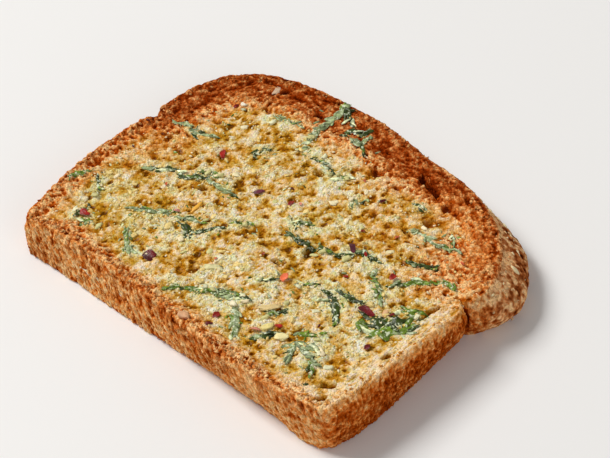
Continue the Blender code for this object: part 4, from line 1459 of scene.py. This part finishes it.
def ribbon(colour, width, points, seed, section, lift):
    """One shred: its rings of points and their colours. Half its width at share s of its length is
    that of the middle times the 0.6th power of sin(pi s), made ragged by noise. At the angle a round a
    ring, a point is cos(a) half widths to the side and sin(a) thicknesses up, and the fold adds
    0.5 - |cos(a)| times its depth. The ring is then rolled about the line."""
    line = smooth_line(points)
    count = max(7, round(along(line)[-1] / RIBBON_STEP))
    line = share_out(line, count)
    walk, share = along(line), np.linspace(0.0, 1.0, count)
    shaky = np.stack([walk, np.zeros(count), np.full(count, NOISE_APART * seed)], axis=-1)
    tangent = np.gradient(line, axis=0)
    tangent /= np.linalg.norm(tangent, axis=1, keepdims=True)
    left = np.stack([-tangent[:, 1], tangent[:, 0]], axis=1)
    line = line + left * (0.4 * grain(shaky, 2.0, 81))[:, None]
    half = width / 2 * np.sin(math.pi * share).clip(0.02) ** 0.6 * (1 + 0.3 * grain(shaky, 1.4, 82))
    half = half[:, None]
    angle = np.linspace(0, 2 * math.pi, section, endpoint=False)
    across, thick = np.cos(angle)[None, :], np.sin(angle)[None, :]
    body = np.stack(np.broadcast_arrays(walk[:, None], across * half, NOISE_APART * seed), axis=-1)
    fold = (0.6 * grain(shaky, 3.0, 84) + 0.3)[:, None] * (0.5 - np.abs(across)) * half
    lateral = across * half * (1 + 0.22 * grain(body, 0.9, 88))
    height = RIBBON_THICKNESS * thick + fold + 0.14 * grain(body, 0.9, 85)
    roll = (0.7 * grain(shaky, 3.0, 86))[:, None]
    sideways = lateral * np.cos(roll) - height * np.sin(roll)
    x, y = line[:, :1] + left[:, :1] * sideways, line[:, 1:] + left[:, 1:] * sideways
    z = lying(line, lift, shaky)[:, None] + lateral * np.sin(roll) + height * np.cos(roll)
    # Lighter streaks along the blade: partly the leaf's own tone, partly painted sheen; the pale middle is
    # the midrib.
    streaks_and_sheen = grain(body * [0.35, 1.0, 1.0], 0.55, 87) + 0.7 * grain(body, 2.0, 89)
    light = (1 + 0.62 * streaks_and_sheen + 0.25 * (np.abs(across) < 0.2)).clip(0.25, 2.2)
    tint = (np.array(colour)[None, None] * light[..., None]).clip(0, 1)
    tint[..., 3] = 1.0
    return np.stack([x, y, z], axis=-1).reshape(-1, 3), tint.reshape(-1, 4), count


def point_at(line, walk):
    """The place on a line at that distance from its start."""
    return np.array([np.interp(walk, along(line), line[:, k]) for k in (0, 1)])


def direction_of(angle):
    """The unit vector (cos, sin) of an angle."""
    return np.array([math.cos(angle), math.sin(angle)])


def leaflets(colour, width, points):
    """Scraps of leaf along a shred: short bent ribbons, each at its own slant to it. Wide shreds have
    them further apart."""
    line = smooth_line(points)
    scraps = []
    for walk in np.arange(0.4, along(line)[-1], 1.2 + 0.45 * max(0.0, width - 2.0)):
        here, ahead, behind = (point_at(line, walk + step) for step in (0.0, 0.5, -0.5))
        heading = math.atan2(*(ahead - behind)[::-1]) + dice.normal(0.0, 0.4)
        size = dice.uniform(0.5, 1.2) * (0.7 + 0.5 * width)
        here = here + dice.normal(0.0, 0.22 * width, 2)
        bend = heading + dice.normal(0.0, 0.5)
        start, end = here - size * direction_of(heading), here + size * direction_of(bend)
        other = (DARK, GREY, BRIGHT, PALE)[dice.choice(4, p=[0.3, 0.26, 0.28, 0.16])]
        own = colour if dice.uniform() < 0.5 else other
        scraps.append((own, dice.uniform(0.2, 0.45) * min(width, 3.0) + 0.4, start, here, end))
    return scraps


# %% Lay the ribbons
def add_herb():
    """Every shred and its scraps, as ribbons with a flat cap at each end, joined into one mesh."""
    ribbons = []
    for colour, width, *places in SHREDS:
        slimmer = width * (0.74 if colour == GREY else 0.9)
        ribbons.append((colour, slimmer, places, RIBBON_POINTS, 0.12))
    for shred in SHREDS:
        for colour, width, *places in leaflets(shred[0], shred[1], shred[2:]):
            ribbons.append((colour, width, places, SCRAP_POINTS, dice.uniform(0.1, 0.4)))
    points, tints, quads, caps, start = [], [], [], {RIBBON_POINTS: [], SCRAP_POINTS: []}, 0
    for number, (colour, width, places, section, lift) in enumerate(ribbons):
        some, tint, count = ribbon(colour, width, places, number + 1, section, lift)
        points.append(some)
        tints.append(tint)
        quads.append(grid_faces(count, section, wrap_columns=True)[:, ::-1] + start)
        ring = start + np.arange(section)
        caps[section] += [ring, (ring + (count - 1) * section)[::-1]]
        start += len(some)
    print(len(ribbons), "ribbons of herb")
    faces = [np.vstack(quads), np.array(caps[SCRAP_POINTS]), np.array(caps[RIBBON_POINTS])]
    return add_piece("herb_shreds", np.vstack(points), faces, herb, tint=np.vstack(tints))


add_herb()


# %% [markdown]
# Chopping also makes crumbs of leaf. They cling round the big shreds and are strewn thinly elsewhere.
# They are too small to show a fold, so the flattened pebble serves for them too.

# %% Small bits of leaf
NEAR_COUNT, FAR_COUNT = 150, 60


def add_leaf_bits():
    """Flat pebbles, normally distributed round the shreds' middles and evenly over the face."""
    anchors = np.array([np.mean(places, axis=0) for _, _, *places in SHREDS])
    near = anchors[dice.integers(0, len(anchors), NEAR_COUNT)] + dice.normal(0.0, 2.8, (NEAR_COUNT, 2))
    near = near[rim_distance(near[:, 0], near[:, 1]) > 3.0]
    far = np.stack(scattered(FAR_COUNT, lambda x, y: np.ones_like(x), 5.0), axis=1)
    x, y = np.vstack([near, far]).T
    size = dice.uniform(0.2, 0.5, len(x))
    radii = size[:, None] * dice.uniform([1.1, 0.45, 0.25], [2.6, 0.9, 0.45], (len(x), 3))
    places = np.stack([x, y, surface_height(x, y) + 0.06], axis=-1)
    points, faces, each = strewn(places, radii, 0.25)
    tint = shades([DARK, GREY, BRIGHT, PALE], dice.choice(4, len(x), p=[0.14, 0.26, 0.36, 0.24]), 0.3)
    return add_piece("leaf_bits", points, [faces], herb, tint=np.repeat(tint, each, axis=0))


add_leaf_bits()

# %% [markdown]
# ## Chilli flakes and seeds
#
# A chilli flake is a scrap of dried skin: a thin sheet with a ragged outline that curls up at its edge.
# A plane with Solidify would have a sharp square edge, so the flake is made as rings that run out over
# its upper face, round the edge and back below. There are few of them, so each has its own place.

# %% Chilli flakes
RED, DARK_RED, PURPLE = paint(156, 32, 20), paint(94, 14, 16), paint(98, 42, 54)
CORAL, PINK = paint(206, 98, 60), paint(214, 136, 118)
FLAKES = (  # (colour, length, place)
    (RED, 2.6, (11.5, 7)), (DARK_RED, 2.0, (12.5, 3.5)), (RED, 2.2, (26.5, 13.5)), (PINK, 2.6, (22.5, 9.5)),
    (PURPLE, 3.2, (22, 45)), (RED, 1.6, (26.5, 45)), (RED, 1.4, (27.5, 36.5)), (RED, 2.4, (37, 43.5)),
    (CORAL, 3.2, (16, 26.5)), (paint(110, 22, 26), 4.2, (40.0, 30.5)), (DARK_RED, 2.2, (48, 22)),
    (DARK_RED, 1.6, (45.5, 33.5)),
    (RED, 3.0, (-31, 51)), (PURPLE, 2.8, (-12.5, 46)), (RED, 2.4, (-2.5, 48)), (PINK, 1.2, (0, 49)),
    (DARK_RED, 1.2, (-6.5, 52.5)), (RED, 1.8, (-42.5, 67.5)), (CORAL, 1.2, (7, 66)),
    (DARK_RED, 1.8, (16, 63)),
    (RED, 3.2, (-42.5, 11.5)), (DARK_RED, 4.4, (-17, 11)), (CORAL, 1.4, (28, 55)), (CORAL, 1.2, (-34, 33)),
    (DARK_RED, 1.0, (-52.5, 38)), (CORAL, 1.0, (-3, 21)), (RED, 1.2, (19, 52)), (DARK_RED, 1.0, (34, 20)),
    (CORAL, 1.3, (5, 30)), (DARK_RED, 1.2, (-56.5, 47.5)), (PINK, 1.6, (-24, 27.5)), (CORAL, 1.4, (47, 58)),
)
FLAKE_RINGS = (  # (reach from the middle, lift) over the upper face, round the edge and back below
    (0.4, 0.09), (0.75, 0.09), (0.96, 0.06), (1.0, 0.0), (0.96, -0.06), (0.75, -0.09), (0.4, -0.09),
)
FLAKE_AROUND, FLAKE_NARROWNESS, FLAKE_CURL = 16, 0.6, 0.3


def add_flakes():
    """Discs whose outline's radius at the angle a is 1 + 0.2 cos(2a + p) + 0.12 cos(3a + q), with a
    random nick at each point. A disc curls up across itself and down along itself, both with the
    square of the distance from its middle."""
    count, around = len(FLAKES), FLAKE_AROUND
    colours, lengths, spots = zip(*FLAKES)
    size, place = np.array(lengths)[:, None] / 2, np.array(spots)
    angle = np.linspace(0, 2 * math.pi, around, endpoint=False)[None, :]
    turn = dice.uniform(0, 2 * math.pi, (2, count, 1))
    radius = size * (1 + 0.2 * np.cos(2 * angle + turn[0]) + 0.12 * np.cos(3 * angle + turn[1]))
    radius = radius * (1 + dice.uniform(-0.16, 0.12, (count, around)))
    rings = []
    for reach, lift in FLAKE_RINGS:
        x, y = radius * reach * np.cos(angle), radius * reach * np.sin(angle) * FLAKE_NARROWNESS
        rings.append(np.stack([x, y, FLAKE_CURL * (y * y * 1.6 - 0.4 * x * x) / size + lift], axis=-1))
    shape = np.concatenate(rings, axis=1)
    shape = turned(shape, dice.uniform(0, 2 * math.pi, count), dice.normal(0.0, 0.3, count))
    height = surface_height(place[:, 0], place[:, 1]) + 0.35 + 0.9 * herb_stain(*place.T)
    shape = shape + np.concatenate([place, height[:, None]], axis=1)[:, None, :]
    each = shape.shape[1]
    start = each * np.arange(count)[:, None, None]
    quads = (grid_faces(len(rings), around, wrap_columns=True)[None, :, ::-1] + start).reshape(-1, 4)
    ring = np.arange(around)
    caps = (np.stack([ring, ring[::-1] + (len(rings) - 1) * around])[None] + start).reshape(-1, around)
    tint = np.repeat(np.array(colours), each, axis=0)
    tint[:, :3] *= (1 + 0.7 * grain(shape.reshape(-1, 3), 1.3, 93))[:, None]
    return add_piece("chilli_flakes", shape.reshape(-1, 3), [quads, caps], chilli, tint=tint.clip(0, 1))


add_flakes()


# %% [markdown]
# ## Crumbs on the rim
#
# The knife and the heat left crumbs along the rim, most of them on the base side. Relief alone would
# leave the rim a smooth line against the light, so the crumbs are pebbles of the bread's own material.

# %% Rim crumbs
BASE_CRUMBS, OTHER_CRUMBS = 420, 380


def add_rim_crumbs():
    """Pebbles at a random walk along the rim, and in from it by the size of a normally distributed
    number. The nearest ones sit lower, on the lip's shoulder."""
    base_end = base_share * PERIMETER
    walk = np.r_[dice.uniform(0, base_end, BASE_CRUMBS), dice.uniform(base_end, PERIMETER, OTHER_CRUMBS)]
    inset = np.abs(dice.normal(0.0, 1.6, len(walk))) + 0.2
    ex, ey, nx, ny = at_walk(walk)
    x, y = ex - nx * inset, ey - ny * inset
    size = dice.uniform(0.22, 0.6, len(x))
    radii = size[:, None] * dice.uniform([0.9, 0.6, 0.5], [1.5, 1.0, 0.8], (len(x), 3))
    drop = 0.9 * np.exp(-((inset / 0.6) ** 2))
    places = np.stack([x, y, surface_height(x, y) - drop], axis=-1)
    points, faces, each = strewn(places, radii, 0.3, 5, 4)
    toasted = (toasting(x, y) + dice.normal(0.0, 0.12, len(x))).clip(0.25, 1.0)
    numbers = {"toasted": toasted, "hollow": dice.uniform(0.0, 0.5, len(x))}
    numbers = {key: np.repeat(values, each) for key, values in numbers.items()}
    return add_piece("rim_crumbs", points, [faces], bread, **numbers)


add_rim_crumbs()

# %% [markdown]
# ## Seeds and flakes in the crust
#
# The loaf was rolled in oat flakes and seeds. Some held to the dome's crust, most at its shoulder.
# Spots of colour would do from afar, but a seed casts a small shadow. Each is a flattened pebble that is
# laid in the wall's own directions: along the rim, up the wall and out.

# %% Crust seeds
OAT, HUSK = paint(232, 214, 168), paint(206, 168, 120)
SEEDS = (  # (colour, length, width, turn from the rim's direction, walk along the rim, share of the height)
    (OAT, 1.6, 1.0, 0.3, 195.7, 0.84), (OAT, 2.2, 1.0, 0.0, 193.4, 0.72), (OAT, 2.6, 1.5, 0.2, 191.5, 0.62),
    (HUSK, 1.4, 0.8, 1.0, 188.0, 0.68), (OAT, 2.4, 0.9, 0.1, 186.2, 0.70), (OAT, 2.0, 0.8, 0.3, 181.4, 0.70),
    (OAT, 2.0, 0.8, 0.0, 179.7, 0.68), (OAT, 3.0, 1.4, 1.2, 174.6, 0.78), (HUSK, 1.2, 0.6, 0.5, 172.0, 0.55),
    (HUSK, 1.5, 0.7, 0.2, 199.5, 0.92), (HUSK, 1.6, 0.7, 0.1, 204.0, 0.92), (OAT, 1.4, 0.6, 0.4, 210.0, 0.94),
)


SEED_COUNT, SEEDED_STRETCH = 130, (162.0, 270.0)


def on_wall(walk, up):
    """Places on the wall, and its directions there: along the rim, up the wall and outwards. The first
    two are the differences to places a little further on, and the third is their cross product."""
    def place(walk, up):
        """The rim moved out by the wall's offset at that share of its height."""
        x, y, nx, ny = at_walk(walk)
        out = wall_offset(x, y, up)
        return np.stack([x + nx * out, y + ny * out, thickness_at(x, y) * up], axis=-1)

    here = place(walk, up)
    forward, upward = place(walk + 0.5, up) - here, place(walk, up + 0.03) - here
    forward /= np.linalg.norm(forward, axis=1, keepdims=True)
    outwards = np.cross(forward, upward)
    outwards /= np.linalg.norm(outwards, axis=1, keepdims=True)
    return here, forward, np.cross(outwards, forward), outwards


def add_crust_seeds():
    """The seeds that stand out, at their places, and random smaller ones. Each is a pebble as long, wide
    and thick as the seed, and its points are summed along the wall's three directions."""
    colours, lengths, widths, own_turns, walks, heights = zip(*SEEDS)
    walk = np.r_[walks, dice.uniform(*SEEDED_STRETCH, SEED_COUNT)]
    up = np.r_[heights, dice.uniform(0.1, 0.95, SEED_COUNT)]
    sizes = dice.uniform([0.4, 0.25], [1.3, 0.6], (SEED_COUNT, 2))
    sizes = np.vstack([np.column_stack([lengths, widths]), sizes]) / 2
    turns = np.r_[own_turns, dice.uniform(0, math.pi, SEED_COUNT)]
    tint = shades([OAT, HUSK], dice.choice(2, SEED_COUNT, p=[0.3, 0.7]), 0.2)
    tint = np.vstack([colours, tint])
    ball, faces = pebble(8, 6)
    uneven = 1 + 0.2 * dice.uniform(-1.0, 1.0, (len(walk), len(ball), 1))
    shape = ball[None] * uneven * np.column_stack([sizes, 0.4 * sizes[:, 1] + 0.1])[:, None, :]
    shape = turned(shape, turns, np.zeros(len(walk)))
    here, forward, upward, outwards = (a[:, None, :] for a in on_wall(walk, up))
    shape = here + shape[..., :1] * forward + shape[..., 1:2] * upward + shape[..., 2:] * outwards
    faces, tint = repeated(faces, len(walk), len(ball)), np.repeat(tint, len(ball), axis=0)
    return add_piece("crust_seeds", shape.reshape(-1, 3), [faces], garlic, tint=tint)


add_crust_seeds()

# %% [markdown]
# ## The camera, the light and the table
#
# The camera looks down on the slice from beyond its right base corner with a long lens, and it is
# tipped a little. The light is one large soft window, to the camera's left and a little behind the
# slice, with a weaker one on the camera's side and a bright room all round. A sun lamp would cut hard
# shadows into every pit. The table is plain and pale, so that nothing competes with the toast.

# %% Camera
CAMERA_FROM = (280.66, -193.67, 371.03)  # in the outline's millimetres
CAMERA_AIM = (8.63, 41.8, 13.4)
CAMERA_ROLL = -8.05  # degrees
LENS = 118.0  # millimetres


def in_metres(point):
    """A point of the outline's millimetres in metres, from the middle of the slice's box."""
    x, y, z = point
    return Vector(((x - box_middle[0]) / 1000, (y - box_middle[1]) / 1000, z / 1000))


camera = bpy.data.objects.new("camera", bpy.data.cameras.new("camera"))
bpy.context.scene.collection.objects.link(camera)
camera.location = in_metres(CAMERA_FROM)
facing = (in_metres(CAMERA_AIM) - camera.location).to_track_quat("-Z", "Y")
camera.rotation_mode = "QUATERNION"
camera.rotation_quaternion = facing @ Quaternion((0, 0, 1), math.radians(CAMERA_ROLL))
camera.data.lens = LENS
camera.data.clip_start = 0.01
bpy.context.scene.camera = camera
print(f"the camera is {(in_metres(CAMERA_AIM) - camera.location).length:.2f} m from the slice")


# %% Light and table
def soft_light(name, place, size, watts, colour):
    """A square light of that size in metres that stands at a place and faces the slice."""
    light = bpy.data.lights.new(name, "AREA")
    light.size, light.energy, light.color = size, watts, colour
    lamp = bpy.data.objects.new(name, light)
    lamp.location = Vector(place)
    lamp.rotation_mode = "QUATERNION"
    lamp.rotation_quaternion = (-Vector(place)).to_track_quat("-Z", "Y")
    bpy.context.scene.collection.objects.link(lamp)


soft_light("window_light", (-1.8, -0.45, 2.1), 1.1, 71.0, (1.0, 0.98, 0.95))
soft_light("room_light", (2.0, -0.5, 0.9), 1.5, 12.0, (1.0, 0.97, 0.93))
world = bpy.data.worlds.new("bright_room")
world.use_nodes = True
world.node_tree.nodes["Background"].inputs["Color"].default_value = (1.0, 0.98, 0.95, 1.0)
world.node_tree.nodes["Background"].inputs["Strength"].default_value = 0.295
bpy.context.scene.world = world
bpy.context.scene.view_settings.view_transform = "Standard"


TABLE_REACH, TABLE_LEVEL = 3.0, -0.00005  # in metres, a hair below the slice


def table_top():
    """One square, as far out as its reach on every side."""
    corners = [(-1, -1), (1, -1), (1, 1), (-1, 1)]
    points = [(TABLE_REACH * x, TABLE_REACH * y, TABLE_LEVEL) for x, y in corners]
    material, _, shader = new_material("pale_table")
    shader.inputs["Base Color"].default_value = paint(236, 236, 236)
    shader.inputs["Roughness"].default_value = 0.55
    mesh = bpy.data.meshes.new("table")
    mesh.from_pydata(points, [], [(0, 1, 2, 3)])
    mesh.materials.append(material)
    table = bpy.data.objects.new("table", mesh)
    bpy.context.scene.collection.objects.link(table)


table_top()
